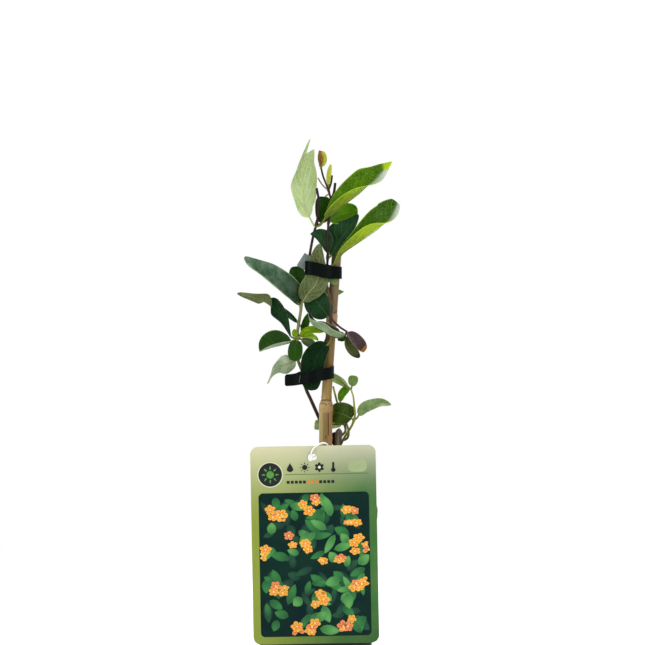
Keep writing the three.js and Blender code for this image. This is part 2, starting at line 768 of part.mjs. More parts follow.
const rightLeaves = [
  {
    from: [[28.2, 0.4, 220]],
    spine: [[25.4, 3, 222.6], [20.6, 7.6, 226], [14.4, 12.4, 229], [8.4, 13.8, 231.4]],
    half: [3.6, 5],
    face: [0.3, 0.9, 0.5],
    point: 0.4,
  },
  {
    from: [[28, 0.4, 220]],
    spine: [[28.8, 0.6, 223], [29.8, 1, 227.4], [30.4, 1.6, 231.4]],
    half: [4, 3.8],
    face: [-0.1, -1, 0.3],
    fine: false,
    swell: 0.5,
    point: 0.3,
  },
  {
    from: [[30.4, -1.6, 196], [32.8, -2.4, 197.6]],
    spine: [[34.2, -2.8, 200], [38.6, -4, 205.4], [45, -5.4, 208.4], [52, -6.6, 210], [60, -7.4, 208.6]],
    half: [4.8, 4.4],
    face: [[-0.2, -0.9, 0.4], [0.1, -0.8, 0.6]],
    fold: [10, 10],
    swell: 0.5,
    point: 0.5,
  },
  {
    from: [[30.2, -1.4, 195.6]],
    spine: [[28.6, -0.2, 197], [23.4, 3.6, 199.4], [17.4, 8, 200.8], [11, 11.6, 201.4]],
    half: [9.2, 9.4],
    face: [0.35, -0.9, 0.1],
    fold: [4, 4],
    swell: 0.3,
    point: 0.4,
  },
];

const backStem = [
  [20.2, 8.6, 182],
  [23.6, 8, 186],
  [23, 10.4, 191],
  [20.6, 13.4, 198],
  [17.6, 14, 207],
  [15.2, 13.4, 216],
  [13.8, 13, 222],
];
const middleStem = [
  [20.6, 8, 178],
  [25.4, 6, 181],
  [26.2, 6, 186],
  [24.6, 9.4, 192],
  [21.4, 12.6, 200],
  [19.4, 10.6, 210],
];

const backLeaves = [
  {
    from: [[22.9, 10.6, 191]],
    spine: [[20, 12, 191.4], [14, 16, 191], [6, 17, 190.4], [-1.4, 15.4, 190.2]],
    half: [5, 5],
    face: [-0.1, 0.9, 0.4],
    swell: 0.4,
    point: 0.15,
  },
];

const middleLeaves = [
  {
    spine: [[19.4, 10.6, 210], [21, 8, 214.6], [24.6, 5, 220.4]],
    half: [3.4, 3.6],
    face: [0.1, -1, 0.2],
    fine: false,
    swell: 0.7,
    point: 0.3,
  },
];

const leafyStem = (stems, leaves) => join([...stems, ...leaves.flatMap(leaf)]);
const clearOf = (body, rods) => rods.reduce((rest, one) => rest.subtract(solid(one)), body);

// ---- Assembly ----

const finishes = {
  pot: { color: 0x141516, roughness: 0.55, metalness: 0 },
  soil: { color: 0x33261c, roughness: 0.95, metalness: 0 },
  cane: { color: 0xb59a63, roughness: 0.55, metalness: 0 },
  tie: { color: 0x1c2222, roughness: 0.45, metalness: 0 },
  label: { color: 0x9db87a, roughness: 0.35, metalness: 0 },
  loop: { color: 0xf2f2ee, roughness: 0.6, metalness: 0 },
  wood: { color: 0x5a4a3a, roughness: 0.85, metalness: 0 },
  leaf: { color: 0x2f5e26, roughness: 0.4, metalness: 0 },
  youngLeaf: { color: 0x5c8a36, roughness: 0.45, metalness: 0 },
};

function piece(name, geometry, finish) {
  const mesh = new THREE.Mesh(geometry, new THREE.MeshStandardMaterial(finishes[finish]));
  mesh.name = name;
  return mesh;
}

const vine = new THREE.Group();

vine.add(piece("pot", geometryOf(pot()), "pot"));
vine.add(piece("soil", geometryOf(soil([cane(GAP), ...crownRods(GAP)])), "soil"));
const bore = rod(canePath.slice(-2), CANE.bore, { sides: 8, steps: 2 });
vine.add(piece("cane", geometryOf(solid(cane()).subtract(solid(bore))), "cane"));

const low = piece("tie_lower", geometryOf(lowerTie()), "tie");
low.position.z = 232;
low.rotation.y = radians(-9.5);
const high = piece("tie_upper", geometryOf(upperTie()), "tie");
high.position.z = 317.6;
high.rotation.y = radians(8.5);
vine.add(low, high);

const plate = piece("label", label(), "label");
plate.position.set(...LABEL.centre);
plate.rotation.set(radians(-LABEL_TILT.back), radians(-LABEL_TILT.side), 0);
vine.add(plate, piece("label_loop", geometryOf(labelLoop()), "loop"));

vine.add(piece("crown", geometryOf(join(crownRods())), "wood"));
const left = clearOf(leafyStem([mainRod()], leftLeaves), [...crownRods(GAP), cane(GAP)]);
vine.add(piece("shoot_left", geometryOf(left), "leaf"));
const frontRod = rod(frontStem, taper(FRONT_STEM.low, FRONT_STEM.high), { steps: 28 });
const front = clearOf(leafyStem([frontRod, ...frontTwigs()], frontLeaves), [mainRod(GAP), cane(GAP)]);
vine.add(piece("shoot_front", geometryOf(front), "leaf"));
const lowShoots = {
  right: leafyStem([rod(rightStem, taper(1.1, 0.8))], rightLeaves),
  middle: leafyStem([rod(middleStem, taper(1, 0.8))], middleLeaves),
  back: leafyStem([rod(backStem, taper(1, 0.8))], backLeaves),
};
for (const [place, shoot] of Object.entries(lowShoots)) {
  const cleared = clearOf(shoot, [...crownRods(GAP), cane(GAP)]);
  vine.add(piece(`shoot_low_${place}`, geometryOf(cleared), "youngLeaf"));
}

export default vine;
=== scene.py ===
import math
import random
from bisect import bisect

import bpy
from mathutils import Matrix, Vector, noise


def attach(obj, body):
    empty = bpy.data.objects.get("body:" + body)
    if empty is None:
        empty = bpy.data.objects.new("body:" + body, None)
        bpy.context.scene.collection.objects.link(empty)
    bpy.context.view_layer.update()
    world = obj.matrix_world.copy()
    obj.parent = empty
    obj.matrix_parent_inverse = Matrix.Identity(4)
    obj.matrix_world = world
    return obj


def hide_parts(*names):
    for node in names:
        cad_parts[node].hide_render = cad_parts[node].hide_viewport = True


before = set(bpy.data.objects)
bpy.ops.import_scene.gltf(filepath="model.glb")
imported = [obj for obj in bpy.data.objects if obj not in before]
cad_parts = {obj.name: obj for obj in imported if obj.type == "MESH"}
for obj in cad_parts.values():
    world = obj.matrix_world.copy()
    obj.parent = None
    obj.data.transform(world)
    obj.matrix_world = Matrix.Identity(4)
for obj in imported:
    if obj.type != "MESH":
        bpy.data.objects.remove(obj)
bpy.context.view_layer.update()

# Shapes are in millimetres, as in the frame's source, and finishPiece turns them to metres.
unit = 0.001
print("frame loaded:", len(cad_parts), "nodes")


# picking, adding and finishing

def clearSelection():
    bpy.ops.object.select_all(action="DESELECT")


def pick(obj):
    clearSelection()
    obj.select_set(True)
    bpy.context.view_layer.objects.active = obj


def newPiece(addPrimitive, name, **settings):
    # a primitive, added with nothing else selected
    clearSelection()
    addPrimitive(**settings)
    obj = bpy.context.object
    obj.name = obj.data.name = name
    return obj


def addModifier(obj, kind, **settings):
    modifier = obj.modifiers.new(kind.lower(), kind)
    for key, value in settings.items():
        setattr(modifier, key, value)


def applyModifiers(obj):
    pick(obj)
    for modifier in list(obj.modifiers):
        bpy.ops.object.modifier_apply(modifier=modifier.name)


def cutAway(obj, tool):
    addModifier(obj, "BOOLEAN", object=tool, operation="DIFFERENCE", solver="EXACT")
    applyModifiers(obj)
    bpy.data.objects.remove(tool)


def joinPieces(name, parts):
    pick(parts[0])
    for part in parts:
        part.select_set(True)
    if len(parts) > 1:
        bpy.ops.object.join()
    whole = bpy.context.object
    whole.name = whole.data.name = name
    return whole


def copyOf(obj, matrix=Matrix()):
    # a copy with its own mesh, put in place
    twin = obj.copy()
    twin.data = obj.data.copy()
    twin.data.transform(matrix)
    bpy.context.scene.collection.objects.link(twin)
    return twin


def settle(obj):
    pick(obj)
    bpy.ops.object.transform_apply(location=True, rotation=True, scale=True)


def finishPiece(obj, slot, nodes=(), crease=40):
    # edges that turn less than the crease, in degrees, are shaded smooth
    settle(obj)
    obj.scale = (unit, unit, unit)
    settle(obj)
    bpy.ops.object.shade_smooth_by_angle(angle=math.radians(crease))
    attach(obj, "root")
    if nodes:
        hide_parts(*nodes)
    print("  finished", obj.name, len(obj.data.polygons), "faces")


# curves, sheets and tubes

def pathThrough(points, dense=30):
    # a smooth curve through the points; the result gives place and direction at a share of its length
    knots = [Vector(point) for point in points]
    ends = [2 * knots[0] - knots[1], *knots, 2 * knots[-1] - knots[-2]]
    places = []
    for k in range(len(knots) - 1):
        before, start, stop, after = ends[k:k + 4]
        gap0 = (start - before).length ** 0.5
        gap1 = (stop - start).length ** 0.5
        gap2 = (after - stop).length ** 0.5
        leave = (start - before) / gap0 - (stop - before) / (gap0 + gap1) + (stop - start) / gap1
        arrive = (stop - start) / gap1 - (after - start) / (gap1 + gap2) + (after - stop) / gap2
        leave *= gap1
        arrive *= gap1
        for i in range(dense):
            t = i / dense
            bow = (3 * (stop - start) - 2 * leave - arrive) * t * t
            turn = (2 * (start - stop) + leave + arrive) * t ** 3
            places.append(start + leave * t + bow + turn)
    places.append(knots[-1])
    lengths = [0]
    for one, two in zip(places, places[1:]):
        lengths.append(lengths[-1] + (two - one).length)
    last = len(places) - 1
    ways = [(places[min(k + 1, last)] - places[max(k - 1, 0)]).normalized() for k in range(last + 1)]

    def at(share):
        goal = min(max(share, 0), 1) * lengths[-1]
        k = min(max(bisect(lengths, goal), 1), last)
        part = (goal - lengths[k - 1]) / (lengths[k] - lengths[k - 1])
        return places[k - 1].lerp(places[k], part), ways[k - 1].lerp(ways[k], part).normalized()

    at.length = lengths[-1]
    return at


def gridSheet(name, rows, columns, place):
    # a grid primitive whose points are carried to place(across, along), both 0 to 1, as its UV map is
    sheet = newPiece(bpy.ops.mesh.primitive_grid_add, name, x_subdivisions=columns, y_subdivisions=rows,
                     size=1)
    for vertex in sheet.data.vertices:
        vertex.co = place(vertex.co.x + 0.5, vertex.co.y + 0.5)
    return sheet


def closeSheet(outward=False):
    # merges the seam of the sheet just made and fills its open ends
    bpy.ops.object.mode_set(mode="EDIT")
    bpy.ops.mesh.select_all(action="SELECT")
    bpy.ops.mesh.remove_doubles(threshold=0.001)
    bpy.ops.mesh.fill_holes(sides=0)
    if outward:
        bpy.ops.mesh.normals_make_consistent(inside=False)
    bpy.ops.object.mode_set(mode="OBJECT")


def tube(name, points, radiusAt, sides, rings, materials, relief=None):
    # its end rings are drawn in; a second material goes on the two end faces
    endGap, endWidth = 0.35, 0.7
    path = pathThrough(points)
    tip = endGap * radiusAt(0) / path.length
    stations = [0] + [tip + (1 - 2 * tip) * k / (rings - 2) for k in range(rings - 1)] + [1]
    side = Vector((0, 1, 0))
    frames = []
    for station in stations:
        centre, way = path(station)
        side = (side - way * side.dot(way)).normalized()
        frames.append((centre, side.copy(), way.cross(side)))

    def place(across, along):
        ring = round(along * rings)
        centre, normal, binormal = frames[ring]
        angle = 2 * math.pi * across
        radius = radiusAt(stations[ring])
        if relief:
            radius += relief(stations[ring], angle, centre)
        if ring in (0, rings):
            radius *= endWidth
        return centre + normal * (radius * math.cos(angle)) + binormal * (radius * math.sin(angle))

    body = gridSheet(name, rings, sides, place)
    closeSheet()
    for material in materials:
        body.data.materials.append(material)
    if len(materials) > 1:
        for face in body.data.polygons:
            if len(face.vertices) > 4:
                face.material_index = 1
    return body


def taper(low, high):
    return lambda share: low + (high - low) * share


def ramp(value, start, stop):
    # 0 before start, 1 after stop, smooth between
    share = min(max((value - start) / (stop - start), 0), 1)
    return share * share * (3 - 2 * share)


# nodes

def colour(red, green, blue):
    # a screen colour, 0 to 255, as linear light
    def linear(value):
        value /= 255
        return value / 12.92 if value <= 0.04045 else ((value + 0.055) / 1.055) ** 2.4
    return (linear(red), linear(green), linear(blue), 1)


def addNode(tree, kind, wires=None, **settings):
    node = tree.nodes.new(kind)
    for key, value in settings.items():
        setattr(node, key, value)
    for key, value in (wires or {}).items():
        if isinstance(value, bpy.types.NodeSocket):
            tree.links.new(value, node.inputs[key])
        else:
            node.inputs[key].default_value = value
    return node


def calculate(tree, operation, one, two=0.5, three=0.5):
    return addNode(tree, "ShaderNodeMath", {0: one, 1: two, 2: three}, operation=operation).outputs[0]


def times(tree, one, two):
    return calculate(tree, "MULTIPLY", one, two)


def scaled(tree, value, factor, offset):
    return calculate(tree, "MULTIPLY_ADD", value, factor, offset)


def larger(tree, one, two):
    return calculate(tree, "MAXIMUM", one, two)


def apart(tree, one, two):
    return calculate(tree, "ABSOLUTE", calculate(tree, "SUBTRACT", one, two))


def mixColours(tree, share, one, two, mode="MIX"):
    # each of the two is a socket or a screen colour
    one, two = (colour(*tone) if isinstance(tone, tuple) else tone for tone in (one, two))
    node = addNode(tree, "ShaderNodeMix", {0: share, 6: one, 7: two}, data_type="RGBA", blend_type=mode)
    return node.outputs[2]


def overlay(tree, tone, mask, share, shade, mode="MIX"):
    # a shade over the tone where the mask is, as strongly as share says
    return mixColours(tree, times(tree, mask, share), tone, shade, mode)


def spread(tree, value, low, high, first=0.0, last=1.0):
    # value from low..high to first..last, smooth at both ends
    wires = {"Value": value, "From Min": low, "From Max": high, "To Min": first, "To Max": last}
    return addNode(tree, "ShaderNodeMapRange", wires, interpolation_type="SMOOTHSTEP").outputs[0]


def shareOf(tree, value, low, high):
    # value from low..high to 0..1, straight
    wires = {"Value": value, "From Min": low, "From Max": high}
    return addNode(tree, "ShaderNodeMapRange", wires).outputs[0]


def rampOf(tree, value, stops):
    # stops: places from 0 to 1, each with its screen colour
    node = addNode(tree, "ShaderNodeValToRGB", {"Fac": value})
    elements = node.color_ramp.elements
    while len(elements) < len(stops):
        elements.new(0.5)
    for element, (place, tone) in zip(elements, stops):
        element.position = place
        element.color = colour(*tone)
    return node.outputs["Color"]


def partsOf(tree, vector):
    return addNode(tree, "ShaderNodeSeparateXYZ", {0: vector}).outputs


def uvOf(tree):
    return addNode(tree, "ShaderNodeUVMap", uv_map="UVMap").outputs[0]


def objectPlaces(tree):
    return addNode(tree, "ShaderNodeTexCoord").outputs["Object"]


def newGroup(name, inputs, outputs):
    tree = bpy.data.node_groups.new(name, "ShaderNodeTree")
    for label, kind, value in inputs:
        socket = tree.interface.new_socket(name=label, in_out="INPUT", socket_type=kind)
        if value is not None:
            socket.default_value = value
    for label in outputs:
        tree.interface.new_socket(name=label, in_out="OUTPUT", socket_type="NodeSocketFloat")
    return tree, tree.nodes.new("NodeGroupInput").outputs, tree.nodes.new("NodeGroupOutput").inputs


def makeGrainGroup():
    # streaky grain: noise stretched along one way
    inputs = [("Vector", "NodeSocketVector", None), ("Stretch", "NodeSocketVector", (1, 1, 1)),
              ("Scale", "NodeSocketFloat", 300.0), ("Sharpness", "NodeSocketFloat", 0.2)]
    tree, given, result = newGroup("streakyGrain", inputs, ["Value"])
    mapping = addNode(tree, "ShaderNodeMapping", {"Vector": given["Vector"], "Scale": given["Stretch"]})
    wires = {"Vector": mapping.outputs[0], "Scale": given["Scale"], "Detail": 6.0}
    grain = addNode(tree, "ShaderNodeTexNoise", wires).outputs[0]
    high = calculate(tree, "SUBTRACT", 1.0, given["Sharpness"])
    tree.links.new(shareOf(tree, grain, given["Sharpness"], high), result["Value"])
    return tree


crowding = 1.35  # draws a blade's columns towards its midrib
veinForm = {
    "ribFade": 0.6,  # how much thinner the midrib is at the tip
    "wobble": 0.5, "wobbleScale": 140.0, "fadeFrom": 0.55, "fadeTo": 0.95, "edgeVein": 0.15,
    "netScale": 480.0, "netWidth": 0.14, "marginFrom": 0.86,
}


def makeVeinGroup():
    # a leaf's midrib, side veins and fine net, from its UV map: u across, v from base to tip
    inputs = [("UV", "NodeSocketVector", None), ("Vector", "NodeSocketVector", None),
              ("Count", "NodeSocketFloat", 9.0), ("Slant", "NodeSocketFloat", 2.2),
              ("Vein Width", "NodeSocketFloat", 0.12), ("Midrib Width", "NodeSocketFloat", 0.07)]
    tree, given, result = newGroup("leafVeins", inputs, ["Midrib", "Veins", "Net", "Margin"])
    across, lengthwise = partsOf(tree, given["UV"])[:2]
    fromRib = calculate(tree, "ABSOLUTE", scaled(tree, across, 2.0, -1.0))
    fromRib = calculate(tree, "POWER", fromRib, crowding)
    ribWidth = times(tree, given["Midrib Width"], scaled(tree, lengthwise, -veinForm["ribFade"], 1.0))
    wires = {"Vector": given["Vector"], "Scale": veinForm["wobbleScale"]}
    wobble = addNode(tree, "ShaderNodeTexNoise", wires).outputs[0]
    shake = scaled(tree, wobble, veinForm["wobble"], -veinForm["wobble"] / 2)
    rise = scaled(tree, lengthwise, given["Count"], shake)
    phase = calculate(tree, "SUBTRACT", rise, times(tree, fromRib, given["Slant"]))
    fromVein = calculate(tree, "PINGPONG", phase, 0.5)
    fade = spread(tree, fromRib, veinForm["fadeFrom"], veinForm["fadeTo"], 1.0, veinForm["edgeVein"])
    wires = {"Vector": given["Vector"], "Scale": veinForm["netScale"]}
    cells = addNode(tree, "ShaderNodeTexVoronoi", wires, feature="DISTANCE_TO_EDGE").outputs[0]
    drawn = {
        "Midrib": spread(tree, fromRib, 0.0, ribWidth, 1.0, 0.0),
        "Veins": times(tree, spread(tree, fromVein, 0.0, given["Vein Width"], 1.0, 0.0), fade),
        "Net": spread(tree, cells, 0.0, veinForm["netWidth"], 1.0, 0.0),
        "Margin": spread(tree, fromRib, veinForm["marginFrom"], 1.0),
    }
    for label, socket in drawn.items():
        tree.links.new(socket, result[label])
    return tree


grainGroup = makeGrainGroup()
veinGroup = makeVeinGroup()


def newMaterial(name, rough, gloss):
    material = bpy.data.materials.new(name)
    material.use_nodes = True
    tree = material.node_tree
    shader = tree.nodes["Principled BSDF"]
    shader.inputs["Roughness"].default_value = rough
    shader.inputs["Specular IOR Level"].default_value = gloss
    return material, tree, shader


def grainValue(tree, stretch, scale, sharpness):
    wires = {"Vector": objectPlaces(tree), "Stretch": stretch, "Scale": scale, "Sharpness": sharpness}
    return addNode(tree, "ShaderNodeGroup", wires, node_tree=grainGroup).outputs[0]


def paint(tree, shader, tone):
    tree.links.new(tone, shader.inputs["Base Color"])


def addBump(tree, shader, height, strength, distance):
    wires = {"Height": height, "Strength": strength, "Distance": distance}
    normal = addNode(tree, "ShaderNodeBump", wires).outputs[0]
    tree.links.new(normal, shader.inputs["Normal"])
    return normal


def roughnessFrom(tree, shader, value, low, high):
    tree.links.new(spread(tree, value, 0.0, 1.0, low, high), shader.inputs["Roughness"])


def mixShaders(tree, share, one, two):
    wires = {0: share, 1: one.outputs[0], 2: two.outputs[0]}
    return addNode(tree, "ShaderNodeMixShader", wires).outputs[0]


# leaf finishes
# base and deep: the two tones of the face; vein: the veins, midrib and margin; through: the light that
# comes through, and share: how much of it. foot: a painted shade at the base, gone at footTo of the length;
# tip: a tone that takes over from tipFrom; paintedSheen: a painted highlight, pale, on one half from
# paintedSheenFrom; bloomAndSheen: cloudy patches, partly a real waxy coat and partly a painted highlight.
# net and lines: how strongly the fine net and the side veins are drawn.

leafFinish = {
    "rough": 0.36, "gloss": 0.12, "net": 0.3, "lines": 0.35,  # for a look that names none
    # paintedSheenShare: how strongly the painted highlight is laid on; bloomAndSheenShare: the same for the
    # pale cloudy patches
    "midrib": 0.85, "margin": 0.55, "bloomAndSheenShare": 0.85, "paintedSheenShare": 0.9,
    "blotchScale": 90.0, "cloudScale": 80.0, "uneven": 0.1,
    "veinDip": -0.8, "netDip": -0.3, "bump": 0.35, "depth": 0.0003,
}

leafLooks = {
    "darkTop": dict(base=(27, 60, 33), deep=(14, 42, 23), vein=(58, 92, 50), through=(70, 120, 10), share=0.1,
                    gloss=0.05),
    "deepTop": dict(base=(10, 38, 14), deep=(3, 24, 8), vein=(26, 58, 24), through=(30, 80, 0), share=0.06,
                    gloss=0.06),
    "litDark": dict(base=(30, 72, 4), deep=(16, 50, 4), vein=(70, 116, 16), through=(70, 150, 0), share=0.3),
    "blueTop": dict(base=(78, 108, 74), deep=(48, 80, 52), vein=(84, 110, 80), through=(70, 120, 30),
                    share=0.1, bloomAndSheen=(140, 166, 148), gloss=0.06, rough=0.4, foot=(6, 36, 6), footTo=0.72,
                    lines=0.2),
    # crestTop and boatTop carry a painted highlight near the tip of one half
    "crestTop": dict(base=(80, 124, 14), deep=(40, 80, 8), vein=(128, 160, 30), through=(130, 185, 0),
                     share=0.3, net=0.5, tip=(196, 216, 30), tipFrom=0.8,
                     paintedSheen=(236, 240, 228), paintedSheenFrom=0.5),
    "boatTop": dict(base=(44, 86, 8), deep=(24, 58, 6), vein=(112, 148, 22), through=(100, 160, 0),
                    share=0.25, net=0.5, paintedSheen=(240, 244, 236), paintedSheenFrom=0.58),
    # freshTop: its bright green is partly the leaf's own colour and partly painted light shining through it
    # from behind
    "freshTop": dict(base=(76, 126, 12), deep=(36, 80, 6), vein=(124, 164, 24), through=(120, 185, 0),
                     share=0.35, net=0.55),
    "roundTop": dict(base=(62, 90, 22), deep=(42, 66, 16), vein=(112, 132, 60), through=(90, 140, 10),
                     share=0.25, foot=(24, 44, 18), footTo=0.6),
    "limeTop": dict(base=(132, 166, 6), deep=(92, 126, 4), vein=(176, 204, 44), through=(180, 220, 0),
                    share=0.45, net=0.5),
    "budTop": dict(base=(204, 204, 84), deep=(184, 184, 58), vein=(220, 220, 130), through=(220, 220, 80),
                   share=0.3),
    "youngTop": dict(base=(118, 144, 80), deep=(88, 116, 54), vein=(150, 168, 100), through=(140, 175, 60),
                     share=0.3),
    "paleTop": dict(base=(104, 138, 66), deep=(76, 112, 42), vein=(146, 168, 104), through=(136, 176, 60),
                    share=0.3, gloss=0.4, bloomAndSheen=(176, 194, 144)),
    "purpleTop": dict(base=(70, 56, 56), deep=(52, 40, 44), vein=(94, 78, 70), through=(80, 50, 30),
                      share=0.08, rough=0.5),
    "witheredTop": dict(base=(76, 60, 62), deep=(56, 42, 46), vein=(100, 84, 78), through=(80, 50, 30),
                        share=0.08, rough=0.5, tip=(150, 92, 34), tipFrom=0.8),
    "oliveTop": dict(base=(74, 80, 36), deep=(54, 62, 26), vein=(106, 110, 64), through=(100, 110, 20),
                     share=0.2, tip=(56, 38, 42), tipFrom=0.8),
    "darkUnder": dict(base=(92, 110, 76), deep=(74, 92, 60), vein=(130, 142, 100), through=(110, 150, 40),
                      share=0.2, rough=0.55, gloss=0.06),
    "paleUnder": dict(base=(172, 188, 140), deep=(142, 160, 110), vein=(192, 202, 162),
                      through=(160, 190, 80), share=0.3, rough=0.55, gloss=0.06),
    "whiteUnder": dict(base=(190, 202, 174), deep=(136, 158, 120), vein=(214, 220, 196),
                       through=(170, 190, 110), share=0.3, rough=0.5),
    "mintUnder": dict(base=(202, 222, 158), deep=(176, 202, 126), vein=(234, 242, 200),
                      through=(190, 215, 100), share=0.3, rough=0.55, lines=0.7, net=0.4),
    # limeUnder: its bright lime is partly the underside's own colour and partly painted light shining through
    # the leaf; its foot is painted shade at the base
    "limeUnder": dict(base=(176, 208, 6), deep=(134, 164, 8), vein=(210, 228, 90), through=(190, 220, 0),
                      share=0.4, lines=0.5, net=0.4, rough=0.5, gloss=0.04, foot=(62, 76, 38), footTo=0.62),
    "oliveUnder": dict(base=(96, 108, 68), deep=(76, 90, 48), vein=(150, 156, 112), through=(120, 140, 40),
                       share=0.2, rough=0.55, gloss=0.06),
    "redUnder": dict(base=(160, 92, 50), deep=(130, 70, 40), vein=(180, 130, 70), through=(190, 110, 50),
                     share=0.3, rough=0.5),
    "glaucousUnder": dict(base=(160, 186, 152), deep=(120, 146, 102), vein=(186, 204, 166),
                          through=(120, 160, 70), share=0.2, rough=0.5, gloss=0.1),
}
leafMaterials = {}


def leafMaterial(look):
    if look in leafMaterials:
        return leafMaterials[look]
    finish = {**leafFinish, **leafLooks[look]}
    material, tree, shader = newMaterial(look, finish["rough"], finish["gloss"])
    places = objectPlaces(tree)
    uv = uvOf(tree)
    veins = addNode(tree, "ShaderNodeGroup", {"UV": uv, "Vector": places}, node_tree=veinGroup).outputs
    wires = {"Vector": places, "Scale": finish["blotchScale"], "Detail": 4.0}
    blotch = addNode(tree, "ShaderNodeTexNoise", wires).outputs[0]
    tone = mixColours(tree, spread(tree, blotch, 0.35, 0.65), finish["base"], finish["deep"])
    # bloomAndSheen: pale cloudy patches, partly the leaf's real waxy coat and partly a painted highlight
    if "bloomAndSheen" in finish:
        wires = {"Vector": places, "Scale": finish["cloudScale"], "Detail": 8.0, "Roughness": 0.75}
        cloud = addNode(tree, "ShaderNodeTexNoise", wires).outputs[0]
        tone = mixColours(tree, spread(tree, cloud, 0.38, 0.7, 0.0, finish["bloomAndSheenShare"]), tone, finish["bloomAndSheen"])
    across, lengthwise = partsOf(tree, uv)[:2]
    uneven = scaled(tree, blotch, finish["uneven"], lengthwise)
    # painted shade: the base darkened towards the foot tone, fading out by footTo
    if "foot" in finish:
        tone = mixColours(tree, spread(tree, uneven, 0.05, finish["footTo"], 1.0, 0.0), tone, finish["foot"])
    lines = scaled(tree, veins["Veins"], finish["lines"], times(tree, veins["Net"], finish["net"]))
    drawn = larger(tree, lines, times(tree, veins["Midrib"], finish["midrib"]))
    tone = mixColours(tree, drawn, tone, finish["vein"])
    tone = overlay(tree, tone, veins["Margin"], finish["margin"], finish["vein"])
    if "paintedSheen" in finish:
        # a painted highlight on the half where out is over 0, stronger away from the midrib
        start = finish["paintedSheenFrom"]
        out = scaled(tree, across, 2.0, -1.0)
        there = spread(tree, scaled(tree, out, -0.06, uneven), start, start + 0.28)
        there = times(tree, there, spread(tree, out, 0.0, 0.9))
        tone = overlay(tree, tone, there, finish["paintedSheenShare"], finish["paintedSheen"])
    if "tip" in finish:
        ending = spread(tree, uneven, finish["tipFrom"] + 0.04, finish["tipFrom"] + 0.08)
        tone = mixColours(tree, ending, tone, finish["tip"])
    paint(tree, shader, tone)
    dips = scaled(tree, veins["Net"], finish["netDip"], times(tree, veins["Veins"], finish["veinDip"]))
    normal = addBump(tree, shader, dips, finish["bump"], finish["depth"])
    roughnessFrom(tree, shader, blotch, finish["rough"] - 0.06, finish["rough"] + 0.1)
    glow = mixColours(tree, drawn, finish["through"], finish["vein"])
    glow = addNode(tree, "ShaderNodeBsdfTranslucent", {"Color": glow, "Normal": normal})
    both = mixShaders(tree, finish["share"], shader, glow)
    tree.links.new(both, tree.nodes["Material Output"].inputs["Surface"])
    leafMaterials[look] = material
    return material


# stems

stemFinish = {
    "rough": 0.55, "gloss": 0.15, "dark": (0.45, (40, 30, 24)),  # how strong, and its tone
    "grain": (1, 1, 0.12), "grainScale": 1500.0, "bump": 0.4, "depth": 0.0002,
    "knuckle": 0.45, "knuckleHalf": 1.7,  # how far a pair of leaves swells the stem, in millimetres
}


def stemMaterial(name, stops):
    # stops: a tone at each height, in millimetres
    material, tree, shader = newMaterial(name, stemFinish["rough"], stemFinish["gloss"])
    low, high = stops[0][0], stops[-1][0]
    height = partsOf(tree, objectPlaces(tree))[2]
    share = shareOf(tree, height, low * unit, high * unit)
    tone = rampOf(tree, share, [((place - low) / (high - low), shade) for place, shade in stops])
    grain = grainValue(tree, stemFinish["grain"], stemFinish["grainScale"], 0.25)
    paint(tree, shader, overlay(tree, tone, grain, *stemFinish["dark"], "MULTIPLY"))
    addBump(tree, shader, grain, stemFinish["bump"], stemFinish["depth"])
    return material


def stem(name, points, thick, material, knuckles, sides, rings):
    # thick: the radius at the foot and at the top; knuckles: heights where leaves swell the stem
    def relief(share, angle, centre):
        half = stemFinish["knuckleHalf"]
        swellings = (math.exp(-((centre.z - knuckle) / half) ** 2) for knuckle in knuckles)
        return stemFinish["knuckle"] * sum(swellings)
    return tube(name, points, taper(*thick), sides, rings, [material], relief)


# leaves
# spine: base to tip. half, fold: each half's width and its rise in degrees, left and right as seen on
# the upper face with the tip ahead. face: where the upper face looks. A list runs evenly from base to
# tip. end: the share of the length where each half ends. lean: how far its rows slant to the tip.
# swell, point: how blunt the outline is at its base and its tip; the larger, the more drawn out.
# twist: from, to, degrees about the midrib. curl, wave: each half's roll and its rippled margin.
# from: where the stalk comes from; looks: the finishes of the upper face and of the underside.

bladeForm = {
    "thick": 0.5, "rows": 30, "columns": 14,
    "even": 0.4,  # how evenly the rows lie; the rest of their spacing crowds them at both ends
    "foot": 0.6, "narrowing": 0.45,  # a strip added to each half's outline, narrower at the tip
    "groove": 0.22, "grooveHalf": 0.07,  # the dip over the midrib
    "quilt": 0.1, "veins": 9, "slant": 2.2,  # the swelling between the side veins
    "waves": 9,
    "ribAt": (0.06, 0.16, 0.3, 0.46, 0.64, 0.82), "ribSink": 0.2, "ribDepth": 0.7, "ribTip": 0.2,
}
stalkTones = {"green": (120, 132, 60), "pale": (150, 160, 100), "red": (92, 62, 56), "mint": (206, 218, 150)}
stalkMaterials = {tone: stemMaterial("stalk" + tone.capitalize(), [(0, shade), (500, shade)])
                  for tone, shade in stalkTones.items()}


def along(values, share):
    # values at even steps from base to tip, joined smoothly; a single one holds all along
    keys = [Vector(value) for value in (values if isinstance(values, list) else [values])]
    if len(keys) == 1:
        return keys[0]
    spot = share * (len(keys) - 1)
    k = min(int(spot), len(keys) - 2)
    t = spot - k
    one, two = keys[k], keys[k + 1]
    before = keys[k - 1] if k else 2 * one - two
    after = keys[k + 2] if k + 2 < len(keys) else 2 * two - one
    ease = (2 * before - 5 * one + 4 * two - after) * t * t + (3 * (one - two) + after - before) * t ** 3
    return one + 0.5 * ((two - before) * t + ease)


def outlineOf(swell, point):
    # the half width of a leaf-like outline at a share of its length, 1 at its widest
    peak = swell / (swell + point)
    widest = peak ** swell * (1 - peak) ** point
    return lambda share: share ** swell * (1 - share) ** point / widest


